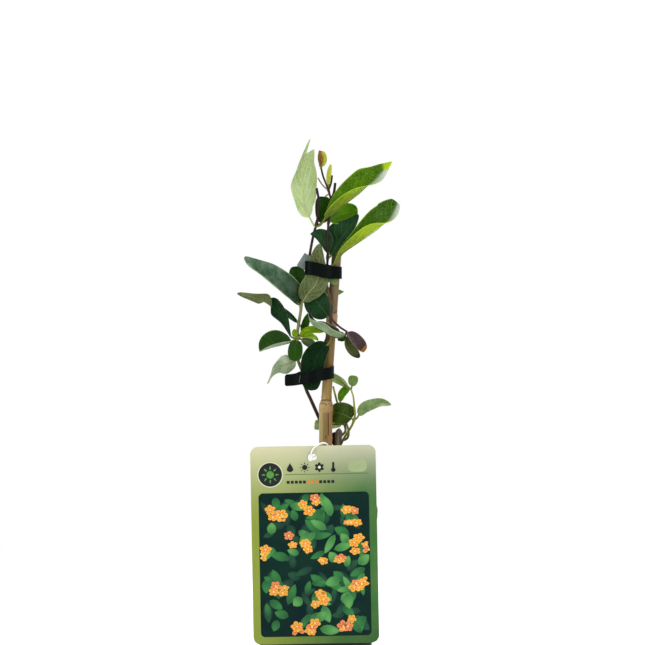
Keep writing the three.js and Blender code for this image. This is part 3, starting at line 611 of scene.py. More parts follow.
def bladeOf(name, leaf):
    form = bladeForm
    path = pathThrough(leaf["spine"])
    outlineAt = outlineOf(leaf.get("swell", 0.6), leaf.get("point", 0.6))
    ends = leaf.get("end", (1, 1))
    curl = math.radians(leaf.get("curl", 0))

    def upAt(share):
        centre, way = path(share)
        up = along(leaf["face"], share)
        up = (up - way * up.dot(way)).normalized()
        if "twist" in leaf:
            start, stop, turn = leaf["twist"]
            up = Matrix.Rotation(math.radians(turn) * ramp(share, start, stop), 3, way) @ up
        return centre, way, up

    stations = []
    for row in range(form["rows"] + 1):
        step = row / form["rows"]
        share = form["even"] * step + (1 - form["even"]) * (0.5 - 0.5 * math.cos(math.pi * step))
        widths = along(leaf["half"], share), along(leaf.get("fold", (10, 10)), share)
        stations.append((share, *upAt(share), *widths))

    def place(across, lengthwise):
        share, centre, way, up, half, fold = stations[round(lengthwise * form["rows"])]
        signed = 2 * across - 1
        side = abs(signed) ** crowding
        right = 1 if signed > 0 else 0
        outline = outlineAt(min(share / ends[right], 1))
        reach = side * (half[right] * outline + form["foot"] - form["narrowing"] * share)
        chord = math.radians(fold[right]) + curl * side / 2
        ripple = leaf.get("wave", 0) * side ** 2 * math.sin(form["waves"] * share + 2 * right)
        groove = form["groove"] * math.exp(-(side / form["grooveHalf"]) ** 2) * (1 - share)
        quilt = form["quilt"] * math.sin(2 * math.pi * (form["veins"] * share - form["slant"] * side))
        quilt *= 4 * side * (1 - side)
        lift = reach * math.sin(chord) + (ripple + quilt - groove) * outline
        sideways = way.cross(up) * (math.copysign(reach, signed) * math.cos(chord))
        lean = along(leaf.get("lean", (0, 0)), share)
        return centre + sideways + up * lift + way * (reach * lean[right])

    blade = gridSheet(name, form["rows"], form["columns"], place)
    for look in leaf["looks"]:
        blade.data.materials.append(leafMaterial(look))
    addModifier(blade, "SOLIDIFY", thickness=form["thick"], offset=0, material_offset=1,
                material_offset_rim=1)
    addModifier(blade, "SUBSURF", levels=1, render_levels=1)
    applyModifiers(blade)
    return blade, upAt


def growLeaf(name, leaf):
    # the blade, and the stalk that runs on as the midrib under it
    blade, upAt = bladeOf(name, leaf)
    start = leaf.get("from", [])
    points = [Vector(point) for point in start] + [upAt(0)[0]]
    thick = leaf.get("stalk", 0.75)
    for share in bladeForm["ribAt"]:
        centre, way, up = upAt(share)
        points.append(centre - up * (bladeForm["ribSink"] + thick * bladeForm["ribDepth"] * (1 - share) ** 2))
    bare = 0.02
    if start:
        bare = pathThrough(points[:len(start) + 1]).length / pathThrough(points).length

    def radiusAt(share):
        if share < bare:
            return thick
        thin = bladeForm["ribTip"]
        return thick * (thin + (1 - thin) * (1 - (share - bare) / (1 - bare)) ** 2)

    material = stalkMaterials[leaf.get("stalkTone", "green")]
    return [blade, tube(name + "Stalk", points, radiusAt, 8, 28, [material])]


def growShoot(name, leaves, slot):
    parts = []
    for label, leaf in leaves.items():
        parts += growLeaf(label, leaf)
    finishPiece(joinPieces(name, parts), slot, crease=60)


leftLeaves = {
    "crestLeaf": {
        "looks": ("youngTop", "mintUnder"), "stalkTone": "mint",
        "from": [(-0.4, 4, 350), (-2.8, 3.2, 353.6)],
        "spine": [(-5.4, 2.4, 358.4), (-9.2, 2, 364), (-10.2, 2.6, 375.2), (-10.4, 3.4, 384), (-11, 4.4, 392),
                  (-10.4, 5.6, 400), (-8.2, 7, 408.8), (-6, 8.4, 416), (-4.5, 9, 421)],
        "half": [(12, 7), (11.4, 7.6), (11.4, 9.8), (11, 8), (11, 6), (12, 4)],
        "face": [(-0.1, 1, 0.1), (0.1, 1, 0.2)],
        "fold": [(10, 10), (12, 8), (14, 8), (16, 50), (18, 56), (20, 40)],
        "end": (0.79, 1), "lean": [(0, 0), (0.5, 0), (1.3, 0), (2.1, 0), (2.2, 0)],
        "swell": 0.5, "point": 0.6},
    "crestBoat": {
        "looks": ("crestTop", "limeUnder"),
        "from": [(0, 4, 350.5), (4, -1.6, 352)],
        "spine": [(7.6, -4.6, 357.6), (12.8, -6.4, 361.1), (24.4, -9.6, 369.6), (35.2, -11.6, 377.6),
                  (43.2, -12.2, 385.2), (51.2, -11.4, 394), (60.4, -8, 401.8)],
        "half": [(16, 16), (15.6, 15.5), (15, 16), (8.8, 16), (4, 7)],
        "face": (-0.55, -0.55, 0.62), "fold": [(56, 58), (57, 60), (57, 50), (54, 8), (50, 12)],
        "lean": (0.6, 0), "swell": 0.55, "point": 0.62},
    "uprightTop": {
        "looks": ("litDark", "darkUnder"),
        "from": [(0.6, 4.4, 352)], "spine": [(4.6, 6.4, 353.6), (5.4, 8.4, 364), (5.6, 10.6, 375)],
        "half": (6.4, 6.4), "face": (0.2, -1, 0.3), "swell": 0.4, "point": 0.25},
    "tiedLeaf": {
        "looks": ("darkTop", "oliveUnder"), "stalkTone": "pale",
        "from": [(-12, -2, 287.6)],
        "spine": [(-10.4, -4, 291), (-5.7, -5.4, 298.4), (0.6, -6.2, 306), (2.2, -7, 315), (3, -7.4, 325),
                  (2.9, -8.6, 337)],
        "half": [(7, 8), (8.6, 10), (8, 10.4), (5, 11), (5, 11)],
        "face": (0, 1, 0.05), "fold": [(8, 8), (-4, -8)], "swell": 0.36, "point": 0.6},
    "behindCane": {
        "looks": ("youngTop", "paleUnder"),
        "from": [(-11.8, -0.4, 289.6)],
        "spine": [(-8, 4, 291), (1, 10.4, 294.4), (12, 12.4, 297), (22.4, 12, 298.4)],
        "half": (7, 7), "face": (0.1, -0.8, 0.6), "point": 0.9},
    "longLeft": {
        "looks": ("blueTop", "paleUnder"), "stalkTone": "pale",
        "from": [(-12.2, -2.2, 286.5)],
        "spine": [(-13.6, -3, 288.4), (-20, -4.6, 293.6), (-26.4, -7, 298.4), (-33, -9.6, 303.6),
                  (-38.6, -11.8, 308.4), (-45.6, -14.4, 314.4), (-52, -16.4, 320.8), (-56.5, -18, 326.6)],
        "half": [(11, 20), (12, 18), (12, 15), (10, 12.6), (9, 10)], "face": (0.3, -0.75, 0.6),
        "fold": [(30, 18), (36, 16), (46, 14), (38, 12), (0, 16)], "curl": 10, "wave": 0.9,
        "swell": 0.5, "point": 0.6},
    "uprightMiddle": {
        "looks": ("litDark", "darkUnder"),
        "from": [(-12, -1, 288)], "spine": [(-11.8, 3, 292), (-13.6, 6, 301), (-15, 8, 310), (-15, 9, 319)],
        "half": (7, 6.4), "face": (0, -1, 0.2), "swell": 0.4, "point": 0.25},
    "twistedLeaf": {
        "looks": ("darkTop", "oliveUnder"),
        "from": [(-15.4, -3.4, 260.8)],
        "spine": [(-20.2, -4.2, 263), (-22.6, -5.4, 269), (-26, -6.6, 276.8), (-31, -8.4, 283),
                  (-37, -10, 288.4), (-43.6, -11, 292), (-52.8, -12, 294.8), (-62.6, -13, 297.6)],
        "half": [(1.6, 1.6), (5, 5.4), (9.4, 7.8), (4.4, 4.4), (3, 3)],
        "face": [(0.3, -1, 0.2), (0.2, -1, 0.4)],
        "fold": [(10, 10), (16, 14), (40, 40), (36, 36), (30, 30)], "twist": (0.46, 0.68, 150),
        "wave": 0.6, "swell": 0.7, "point": 0.5},
    "narrowBehind": {
        "looks": ("darkTop", "darkUnder"),
        "from": [(-14.6, -3, 263), (-10.6, 0, 265.6), (-11.6, 1.4, 270)],
        "spine": [(-15, 2.4, 274), (-24, 3, 281.4), (-37, 2, 290)],
        "half": (2.6, 2.6), "face": (0.2, -0.8, 0.6)},
    "shellLeaf": {
        "looks": ("litDark", "whiteUnder"), "stalkTone": "pale",
        "from": [(-15.4, -3.6, 260.6)],
        "spine": [(-19.6, -4, 259.2), (-24, -5.4, 257.6), (-30.8, -7.4, 255.6), (-37.6, -9, 253.6),
                  (-44.8, -10.4, 251)],
        "half": [(11, 12), (13, 13), (13, 13)], "face": [(0, -0.7, 0.7), (-0.2, -0.72, 0.7)],
        "fold": [(52, 44), (56, 44), (54, 40)], "swell": 0.5, "point": 0.5},
    "hangingRound": {
        "looks": ("litDark", "darkUnder"),
        "from": [(-15.3, -3.2, 262)], "spine": [(-15.2, -5.8, 260), (-16.5, -7.6, 252), (-16.8, -7.4, 243.6)],
        "half": (5.7, 5.7), "face": (0.1, -1, 0.1), "fold": (6, 6), "swell": 0.4, "point": 0.3},
    "paleRolled": {
        "looks": ("youngTop", "whiteUnder"), "stalkTone": "pale",
        "from": [(-14.6, -2.4, 244.6)],
        "spine": [(-16.4, -2.6, 243.6), (-19.2, -3.2, 242.4), (-25.6, -5, 240.4), (-31.2, -7, 237.6),
                  (-35.2, -8.8, 232), (-38.6, -10, 225.4)],
        "half": [(7, 9), (8.6, 10.4), (4, 5), (1, 1), (0.8, 0.8)], "face": (0.1, 0.9, 0.35), "fold": (8, 10),
        "swell": 0.4, "point": 0.3},
    "limeFolded": {
        "looks": ("limeTop", "limeUnder"),
        "from": [(-15, -3.6, 262)],
        "spine": [(-12.4, -5.2, 263.2), (-8, -6.4, 266.8), (-1.6, -7.4, 268.2), (6, -6.8, 266.8)],
        "half": (3.6, 3.4), "face": (0, -0.8, 0.6), "fold": (10, 10), "swell": 0.5, "point": 0.6},
    "limeLower": {
        "looks": ("limeTop", "limeUnder"),
        "from": [(-15, -3.8, 261.4)],
        "spine": [(-12, -5.4, 263), (-6.4, -8, 263.6), (-1.6, -9, 262.4), (2, -9.2, 260)],
        "half": (3.6, 3), "face": (0, -0.5, 0.9), "fold": (6, 6), "swell": 0.6, "point": 0.7},
    "greyDown": {
        "looks": ("darkTop", "darkUnder"),
        "from": [(-15.2, -3.2, 261)], "spine": [(-11.4, -3.8, 260.8), (-5.6, -3.2, 258), (-1.6, -2.4, 253.4)],
        "half": (4.2, 4.2), "face": (0.2, 0.9, 0.4)},
    "narrowUpright": {
        "looks": ("litDark", "darkUnder"),
        "from": [(-15, -3, 263.4)], "spine": [(-11, -1.6, 265.4), (-8.6, -0.4, 273), (-5.8, 0.4, 281.4)],
        "half": (2.9, 2.9), "face": (0.3, -1, 0.2)},
    "budLeaf": {
        "looks": ("limeTop", "limeUnder"),
        "from": [(-15.2, -3.6, 261.6)], "spine": [(-16.2, -5, 262.6), (-17.2, -5.6, 266), (-16.8, -5.4, 269)],
        "half": (1.8, 1.8), "face": (0, -1, 0)},
}

frontLeaves = {
    "rightBoat": {
        "looks": ("boatTop", "limeUnder"),
        "from": [(8.8, -3.4, 313), (10.8, -4.6, 316)],
        "spine": [(14.2, -5.4, 320.7), (20.8, -8.8, 329.4), (33.9, -13.4, 338.2), (45.5, -15, 346.2),
                  (54.2, -14.6, 352.7), (57.2, -14, 356.6), (60.6, -12.8, 362.4), (64.2, -11.2, 369.8)],
        "half": [(17, 16), (18.6, 19), (19.8, 20), (18, 17), (12.6, 11), (6, 6.6)],
        "face": (-0.51, -0.53, 0.68),
        "fold": [(60, 60), (58, 68), (58, 66), (58, 58), (54, 14), (50, 4)], "lean": (0.5, 0),
        "swell": 1.15, "point": 0.26},
    "darkFolded": {
        "looks": ("darkTop", "darkUnder"),
        "from": [(9.3, -3.4, 325)],
        "spine": [(12, -2.8, 327.2), (16.8, -1.8, 335.2), (22.4, -1.2, 344), (28, -1.6, 351.2),
                  (33.8, -3, 360.4)],
        "half": [(12, 4), (13.6, 3.4), (13.6, 3.8), (8, 4.4), (4, 4)],
        "face": [(-0.1, -1, 0.15), (-0.2, -1, 0.5)],
        "fold": [(-6, 4), (4, 4), (24, 4)], "swell": 0.5, "point": 0.5},
    "darkLeft": {
        "looks": ("darkTop", "darkUnder"),
        "from": [(9.2, -3.4, 325.6)],
        "spine": [(10.4, -3, 329.6), (7.4, -3.2, 337.6), (2.4, -3.2, 342.6), (-4.5, -3.4, 344.8)],
        "half": [(3, 1), (3.8, 8.4), (3.6, 8)], "face": (0.1, -1, 0.2), "fold": (4, 4),
        "swell": 0.5, "point": 0.8},
    "litBehind": {
        "looks": ("freshTop", "paleUnder"),
        "from": [(10.1, -1.4, 353)],
        "spine": [(11.6, 1.2, 354.8), (18, 3.6, 359), (26, 4.4, 361.6), (33.4, 2.6, 361)],
        "half": (8.2, 7), "face": (0, -1, 0.25), "swell": 0.4, "point": 0.35},
    "smallPale": {
        "looks": ("youngTop", "paleUnder"),
        "from": [(8.8, -3.2, 306)], "spine": [(10.4, -3, 307), (12.8, -2.6, 309), (16.4, -2.2, 311)],
        "half": (3.4, 5.4), "face": (0.1, -1, 0.1), "fold": (0, 0), "swell": 0.4, "point": 0.35},
    "darkBehindTied": {
        "looks": ("darkTop", "darkUnder"),
        "from": [(11.9, -2.8, 277)],
        "spine": [(9.6, -2.6, 278.6), (5.6, -2, 284.4), (0, -0.6, 291.6), (-5, 1, 298.6)],
        "half": (11, 9.6), "face": (-0.2, -1, 0.1), "fold": (4, 4), "swell": 0.45, "point": 0.45},
    "largeTied": {
        "looks": ("deepTop", "darkUnder"),
        "from": [(10.6, -2.8, 267.6), (11.8, -4, 260.4)],
        "spine": [(9.4, -5, 256.6), (3.8, -6.8, 251.6), (-0.8, -8, 243), (-3.2, -8.6, 232), (-4.2, -8, 220)],
        "half": [(7.4, 11), (8, 11.8), (8.4, 9.6), (8, 8)], "face": (0, -1, 0.1),
        "fold": [(2, -2), (-4, -8), (-8, -10)], "swell": 0.42, "point": 0.28},
    "droopLong": {
        "looks": ("purpleTop", "glaucousUnder"), "stalkTone": "red",
        "from": [(24.4, -9, 267)],
        "spine": [(23.4, -10, 265), (20.6, -11.2, 263), (16.2, -12.2, 262.8), (10.6, -12.8, 264.4),
                  (5, -12.8, 268.4), (-1.6, -12.6, 271.4), (-5.1, -12, 276), (-5.8, -11.4, 282.4)],
        "half": [(9, 9), (9.4, 9), (9.6, 7), (9.6, 5), (9, 5)], "face": [(0.1, -0.5, 0.85), (0.5, -0.5, 0.7)],
        "fold": [(66, 44), (68, 44), (66, 60), (40, 50)], "swell": 0.5, "point": 0.5},
    "droopWithered": {
        "looks": ("witheredTop", "oliveUnder"), "stalkTone": "red",
        "from": [(24.2, -8.8, 267.2)],
        "spine": [(25.4, -9.8, 266.4), (28.6, -11.6, 262.6), (32, -13, 258.4), (35.6, -14, 254.4),
                  (38.8, -14.4, 251.6)],
        "half": (6.2, 4), "face": (0.2, -1, 0.3), "fold": (16, 30), "swell": 0.5, "point": 0.35},
    "droopOlive": {
        "looks": ("oliveTop", "oliveUnder"), "stalkTone": "red",
        "from": [(24.6, -9, 267)],
        "spine": [(25.2, -8.4, 263.6), (26.4, -8, 257), (29.6, -8.6, 251.4), (34.8, -9.4, 246.4)],
        "half": (4.2, 3.8), "face": (0.2, -1, -0.1)},
    "droopShort": {
        "looks": ("litDark", "paleUnder"),
        "from": [(24.4, -8.6, 266.6)], "spine": [(23.4, -6.8, 264), (20.4, -3.2, 261.4), (17.4, -0.6, 260.6)],
        "half": (2.6, 2.8), "face": (0.5, -0.8, 0.4)},
    "thinTop": {
        "looks": ("budTop", "limeUnder"), "stalk": 0.6,
        "from": [(9.8, 0.2, 380.4)], "spine": [(9.9, 0, 384), (10.4, -0.2, 392), (12, -0.2, 400.4)],
        "half": (1.9, 1.5), "face": (0.2, -1, 0)},
    "budRight": {
        "looks": ("budTop", "budTop"),
        "from": [(4.2, 0, 396.4)], "spine": [(4.4, 0, 398.6), (5.6, 0.6, 404.6), (4, 0.8, 411)],
        "half": (3, 2.6), "face": (0.5, 1, 0.1), "fold": (24, 24), "swell": 0.5, "point": 0.4},
    "budLeft": {
        "looks": ("budTop", "redUnder"),
        "from": [(3.9, -0.2, 396.6)], "spine": [(3.6, -0.6, 398.6), (2.4, -1, 405), (3, -0.6, 411.4)],
        "half": (2, 1.9), "face": (1, 0.9, 0.1), "fold": (18, 18), "swell": 0.5, "point": 0.4},
}

rightLeaves = {
    "strapLeaf": {
        "looks": ("limeTop", "paleUnder"),
        "from": [(28.2, 0.4, 220)],
        "spine": [(25.4, 3, 222.6), (20.6, 7.6, 226), (14.4, 12.4, 229), (8.4, 13.8, 231.4)],
        "half": (3.6, 5), "face": (0.3, 0.9, 0.5), "point": 0.4},
    "ovalLeaf": {
        "looks": ("youngTop", "paleUnder"),
        "from": [(28, 0.4, 220)], "spine": [(28.8, 0.6, 223), (29.8, 1, 227.4), (30.4, 1.6, 231.4)],
        "half": (4, 3.8), "face": (-0.1, -1, 0.3), "swell": 0.5, "point": 0.3},
    "reachingLeaf": {
        "looks": ("paleTop", "paleUnder"),
        "from": [(30.4, -1.6, 196), (32.8, -2.4, 197.6)],
        "spine": [(34.2, -2.8, 200), (38.6, -4, 205.4), (45, -5.4, 208.4), (52, -6.6, 210),
                  (60, -7.4, 208.6)],
        "half": (4.8, 4.4), "face": [(-0.2, -0.9, 0.4), (0.1, -0.8, 0.6)], "fold": (10, 10),
        "wave": 0.4, "swell": 0.5, "point": 0.7},
    "roundLow": {
        "looks": ("roundTop", "darkUnder"),
        "from": [(30.2, -1.4, 195.6)],
        "spine": [(28.6, -0.2, 197), (23.4, 3.6, 199.4), (17.4, 8, 200.8), (11, 11.6, 201.4)],
        "half": (9.2, 9.4), "face": (0.35, -0.9, 0.1), "fold": (4, 4), "swell": 0.3, "point": 0.4},
}

middleLeaves = {
    "middleLeaf": {
        "looks": ("freshTop", "paleUnder"),
        "spine": [(19.4, 10.6, 210), (20.6, 9, 215.6), (23.2, 7, 219.2), (26.8, 5.6, 221.6)],
        "half": (3.4, 3.2), "face": (0.3, -1, 0.1), "fold": (14, 8), "swell": 0.6, "point": 0.4},
}

backLeaves = {
    "backLeaf": {
        "looks": ("paleTop", "mintUnder"),
        "from": [(22.9, 10.6, 191)],
        "spine": [(20, 12, 191.4), (14, 16, 191), (6, 17, 190.4), (-1.4, 15.4, 190.2)],
        "half": (5, 5), "face": (-0.1, 0.9, 0.4), "swell": 0.4, "point": 0.15},
}

for name, leaves, slot in (("leftShootLeaves", leftLeaves, "leaf"), ("frontShootLeaves", frontLeaves, "leaf"),
                           ("lowRightLeaves", rightLeaves, "young_leaf"),
                           ("lowMiddleLeaf", middleLeaves, "young_leaf"),
                           ("lowBackLeaf", backLeaves, "young_leaf")):
    growShoot(name, leaves, slot)
print("leaves grown")

# route: its points from the foot up; thick: the radius at its foot and at its top
vine = {
    "left": {
        "route": [(15.9, 12.4, 174), (8.6, 12.6, 184), (2.6, 9, 196.4), (-4.5, 4, 212.6), (-7.7, 1.6, 219.8),
                  (-9.6, 0.4, 227), (-11, -0.4, 234.6), (-14.4, -2, 244), (-15.6, -3, 253),
                  (-15.2, -3.5, 261.6), (-14, -3, 272), (-12.1, -2.4, 284), (-12, -1.4, 288),
                  (-10.6, 1, 300), (-7, 3.4, 314), (-4.8, 4.4, 329.6), (-1.6, 4.6, 346), (0.4, 4, 353),
                  (2.3, 4, 369.6), (0.6, 4.6, 381.6)],
        "thick": (1.5, 0.95), "knuckles": (261.6, 288, 353)},
    "front": {
        "route": [(-7.7, 1.6, 219.8), (-4.6, -1.4, 228), (-1, -2.4, 238), (3.4, -2.4, 249),
                  (10.4, -2.8, 267), (12, -2.8, 277.6), (11.3, -2.8, 291), (8.9, -3, 304), (8.5, -3.4, 312),
                  (9.3, -3.6, 326), (9.3, -3.2, 341), (10, -1.6, 354), (11.8, 0, 364), (11.6, 0.4, 373),
                  (9.7, 0.2, 380.4), (5.6, 0, 391), (3.9, 0, 398.4)],
        "thick": (1.25, 0.75), "knuckles": (277.6, 312, 326, 354, 380)},
    "right": {
        "route": [(19.6, 7, 174.6), (21.6, 3.6, 179.4), (25.2, 1.4, 185.4), (29.4, -1, 193), (31.2, -2, 200),
                  (30.6, -2, 207.6), (29.8, -1, 214.8), (28, 0.4, 220.6)],
        "thick": (1.05, 0.66), "knuckles": (196,)},
    "middle": {
        "route": [(20.6, 8, 178), (25.4, 6, 181), (26.2, 6, 186), (24.6, 9.4, 192), (21.4, 12.6, 200),
                  (19.4, 10.6, 210)],
        "thick": (1, 0.8), "knuckles": ()},
    "back": {
        "route": [(20.2, 8.6, 182), (23.6, 8, 186), (23, 10.4, 191), (20.6, 13.4, 198), (17.6, 14, 207),
                  (15.2, 13.4, 216), (13.8, 13, 222)],
        "thick": (1, 0.8), "knuckles": ()},
    "bunch": {
        "route": [(12, -2.8, 277.6), (18, -6.4, 271.4), (24.6, -9, 267)], "thick": (1, 0.8), "knuckles": ()},
}
twigs = [([(10, 0.2, 380), (11.8, 0.8, 385), (12.8, 1, 391.6)], 0.9, "deadTwig"),
         ([(11.5, 0.4, 372), (14, 1.4, 376.6), (15.4, 1.6, 385.6)], 1.05, "deadTwig"),
         ([(9.8, 0.2, 379.6), (5, -0.6, 384), (1.5, -1.4, 389.4)], 0.6, "paleTwig"),
         ([(10.8, 0.3, 377), (7.2, -0.4, 374.6)], 0.6, "paleTwig")]
barkTones = {
    "mainStem": [(174, (46, 34, 24)), (228, (64, 52, 36)), (243, (128, 126, 84)), (300, (140, 144, 96)),
                 (322, (80, 58, 52)), (382, (52, 36, 40))],
    "frontStem": [(219, (92, 78, 60)), (262, (72, 46, 48)), (300, (104, 76, 68)), (322, (60, 42, 44)),
                  (398, (64, 42, 42))],
    "greenStem": [(174, (70, 62, 28)), (190, (128, 126, 34)), (222, (176, 182, 76))],
    "deadTwig": [(0, (48, 36, 32)), (500, (48, 36, 32))],
    "paleTwig": [(0, (158, 138, 104)), (500, (158, 138, 104))],
}
barks = {name: stemMaterial(name, stops) for name, stops in barkTones.items()}


def growStem(name, part, bark, sides, rings):
    piece = vine[part]
    return stem(name, piece["route"], piece["thick"], barks[bark], piece["knuckles"], sides, rings)


finishPiece(growStem("leftShootStem", "left", "mainStem", 14, 150), "leaf", ["shoot_left"])
frontParts = [growStem("frontShootStem", "front", "frontStem", 12, 130)]
for route, thick, bark in twigs:
    frontParts.append(stem("twig", route, (thick, thick), barks[bark], (), 8, 12))
frontParts.append(growStem("bunchStalk", "bunch", "frontStem", 10, 20))
finishPiece(joinPieces("frontShootStem", frontParts), "leaf", ["shoot_front"])
for name, part, rings, node in (("lowRightStem", "right", 50, "shoot_low_right"),
                                ("lowMiddleStem", "middle", 40, "shoot_low_middle"),
                                ("lowBackStem", "back", 40, "shoot_low_back")):
    finishPiece(growStem(name, part, "greenStem", 12, rings), "young_leaf", [node])
print("stems grown")


# cane

cane = {
    "path": [(7.6, 4, 12), (7.6, 4, 100), (7.7, 4, 176), (8.2, 4, 208), (10.7, 4, 248), (13.8, 4, 292),
             (16.2, 4, 324), (17.8, 4, 345)],
    "low": 5.3, "high": 4.1, "tip": 3.8, "step": (205, 212),  # radii, and where the lower length ends
    "joints": (106, 208, 278), "bulge": 0.6, "bulgeBelow": 9, "bulgeAbove": 4,
    # how far above its joint each one lies, how far it stands out, and how far it reaches up and down
    "rings": [(3.8, -0.3, 0.6), (5.2, 0.16, 0.8)],
    "knobs": 0.22, "knobReach": 4, "flutes": 5, "fluteDepth": 0.06,
    # the middle of the front face, how it leans over above a height, and the share of the width in 1 mm
    "middle": 7.7, "leansFrom": 200, "lean": 0.07, "acrossStep": 0.096,
    "strip": {"from": 9.6, "to": 10.4, "top": 203}, "crack": (9.9, 182), "spot": (7.6, 182.4),
    "collar": 1.6, "scar": 3.2,  # how far below and above its joint each one lies
    # tones from the left edge to the right one, each list from its height up. They are partly the cane's own
    # colour
    # and partly painted light and shade: painted light on the left low down, painted shade on the left higher
    # up, and a darker top in painted shade under the leaves
    "tones": [(0, [(0, (222, 202, 140)), (0.35, (150, 126, 74)), (0.7, (130, 104, 58)),
                   (1, (166, 132, 84))]),
              (209, [(0, (204, 176, 120)), (0.35, (176, 144, 86)), (0.7, (150, 118, 60)),
                     (1, (132, 106, 62))]),
              (234, [(0, (106, 84, 46)), (0.4, (124, 96, 48)), (1, (138, 108, 60))]),
              (268, [(0, (92, 84, 62)), (0.5, (108, 95, 60)), (1, (128, 114, 82))])],
    # how strongly each mark is laid over them, and its tone
    "streaks": (0.45, (112, 88, 46)), "reddish": (0.6, (170, 118, 72)), "cracked": (0.85, (52, 34, 22)),
    "spotted": (0.8, (48, 34, 24)), "collared": (0.55, (196, 160, 112)), "scarred": (0.75, (84, 50, 34)),
    "pitTone": (70, 42, 24),
}


def caneMaterial():
    material, tree, shader = newMaterial("bamboo", 0.42, 0.3)
    places = objectPlaces(tree)
    x, y, z = (times(tree, socket, 1 / unit) for socket in partsOf(tree, places))
    streaks = grainValue(tree, (1, 1, 0.03), 900.0, 0.25)
    broad = grainValue(tree, (1, 1, 0.12), 160.0, 0.3)

    # across the cane, from its left edge to its right one, as it leans over
    lean = times(tree, larger(tree, calculate(tree, "SUBTRACT", z, cane["leansFrom"]), 0), cane["lean"])
    offset = calculate(tree, "SUBTRACT", calculate(tree, "SUBTRACT", x, lean), cane["middle"])
    across = scaled(tree, offset, cane["acrossStep"], 0.5)
    uneven = scaled(tree, broad, 0.25, calculate(tree, "SUBTRACT", across, 0.12))
    # each band mixes the cane's own colour with painted light on one side and painted shade on the other
    bands = [(height, rampOf(tree, uneven, stops)) for height, stops in cane["tones"]]
    tone = bands[0][1]
    for height, band in bands[1:]:
        tone = mixColours(tree, spread(tree, z, height - 6, height + 6), tone, band)
    tone = overlay(tree, tone, streaks, *cane["streaks"])

    # a reddish strip with a crack in it, below the joint in the middle, and a dark spot beside it
    front = spread(tree, y, 3, 4.5, 1.0, 0.0)
    strip = cane["strip"]
    below = times(tree, spread(tree, z, strip["top"] - 3, strip["top"], 1.0, 0.0), front)
    reddish = times(tree, spread(tree, scaled(tree, broad, 1.2, x), strip["from"], strip["to"]), below)
    tone = overlay(tree, tone, reddish, *cane["reddish"])
    crackX, crackFoot = cane["crack"]
    crack = spread(tree, apart(tree, x, scaled(tree, broad, 1.0, crackX - 0.5)), 0.25, 0.6, 1.0, 0.0)
    crack = times(tree, crack, spread(tree, z, crackFoot, crackFoot + 3))
    crack = times(tree, crack, below)
    tone = overlay(tree, tone, crack, *cane["cracked"])
    spotX, spotZ = cane["spot"]
    sideways = times(tree, calculate(tree, "SUBTRACT", x, spotX), 1.6)
    upwards = calculate(tree, "SUBTRACT", z, spotZ)
    fromSpot = addNode(tree, "ShaderNodeCombineXYZ", {0: sideways, 1: upwards}).outputs[0]
    fromSpot = addNode(tree, "ShaderNodeVectorMath", {0: fromSpot}, operation="LENGTH").outputs["Value"]
    spot = times(tree, spread(tree, fromSpot, 0.6, 1.2, 1.0, 0.0), front)
    tone = overlay(tree, tone, spot, *cane["spotted"])

    # the joints: a paler collar full of pits, under a thin dark scar
    specks = addNode(tree, "ShaderNodeTexVoronoi", {"Vector": places, "Scale": 460.0}).outputs[0]
    pits = spread(tree, specks, 0.16, 0.42, 1.0, 0.0)
    near = 0
    ring = 0
    for joint in cane["joints"]:
        fromCollar = apart(tree, z, joint - cane["collar"])
        near = larger(tree, spread(tree, fromCollar, 3.0, 5.5, 1.0, 0.0), near)
        fromScar = apart(tree, z, scaled(tree, broad, 1.2, joint + cane["scar"]))
        ring = larger(tree, spread(tree, fromScar, 0.2, 0.9, 1.0, 0.0), ring)
    patchy = times(tree, near, spread(tree, broad, 0.25, 0.6, 0.5, 1.0))
    tone = overlay(tree, tone, patchy, *cane["collared"])
    tone = overlay(tree, tone, pits, patchy, cane["pitTone"])
    tone = overlay(tree, tone, ring, *cane["scarred"])
    paint(tree, shader, tone)
    dips = larger(tree, times(tree, pits, near), crack)
    addBump(tree, shader, scaled(tree, dips, -1.0, streaks), 0.4, 0.0003)
    return material


def makeCane():
    foot = cane["path"][0][2]
    top = cane["path"][-1][2]
    low, high = cane["step"]

    def radiusAt(share):
        height = foot + share * (top - foot)
        upper = cane["high"] + (cane["tip"] - cane["high"]) * max(height - high, 0) / (top - high)
        radius = cane["low"] + (upper - cane["low"]) * ramp(height, low, high)
        for joint in cane["joints"]:
            wide = cane["bulgeBelow"] if height < joint else cane["bulgeAbove"]
            radius += cane["bulge"] * math.exp(-((height - joint) / wide) ** 2)
        return radius

    def relief(share, angle, centre):
        # a groove with a lip over it above each joint, a knobbly collar, and shallow flutes
        height = centre.z
        scar = 0
        collar = 0
        for joint in cane["joints"]:
            for above, out, reach in cane["rings"]:
                scar += out * math.exp(-((height - joint - above) / reach) ** 2)
            collar += math.exp(-((height - joint + cane["collar"]) / cane["knobReach"]) ** 2)
        knobs = noise.noise(Vector((3 * math.cos(angle), 3 * math.sin(angle), height / 2.2)))
        flutes = cane["fluteDepth"] * math.sin(cane["flutes"] * angle + height / 40)
        return scar + flutes + cane["knobs"] * knobs * collar

    body = tube("bambooCane", cane["path"], radiusAt, 32, 460, [caneMaterial()], relief)
    finishPiece(body, "bamboo", ["cane"], 50)


makeCane()
print("cane made")


# simple finishes

def plainMaterial(name, base, deep, rough, scale=300.0, stretch=(1, 1, 1), bump=0.2, gloss=0.3):
    material, tree, shader = newMaterial(name, rough, gloss)
    grain = grainValue(tree, stretch, scale, 0.25)
    paint(tree, shader, mixColours(tree, grain, base, deep))
    roughnessFrom(tree, shader, grain, rough - 0.08, rough + 0.08)
    addBump(tree, shader, grain, bump, 0.0002)
    return material


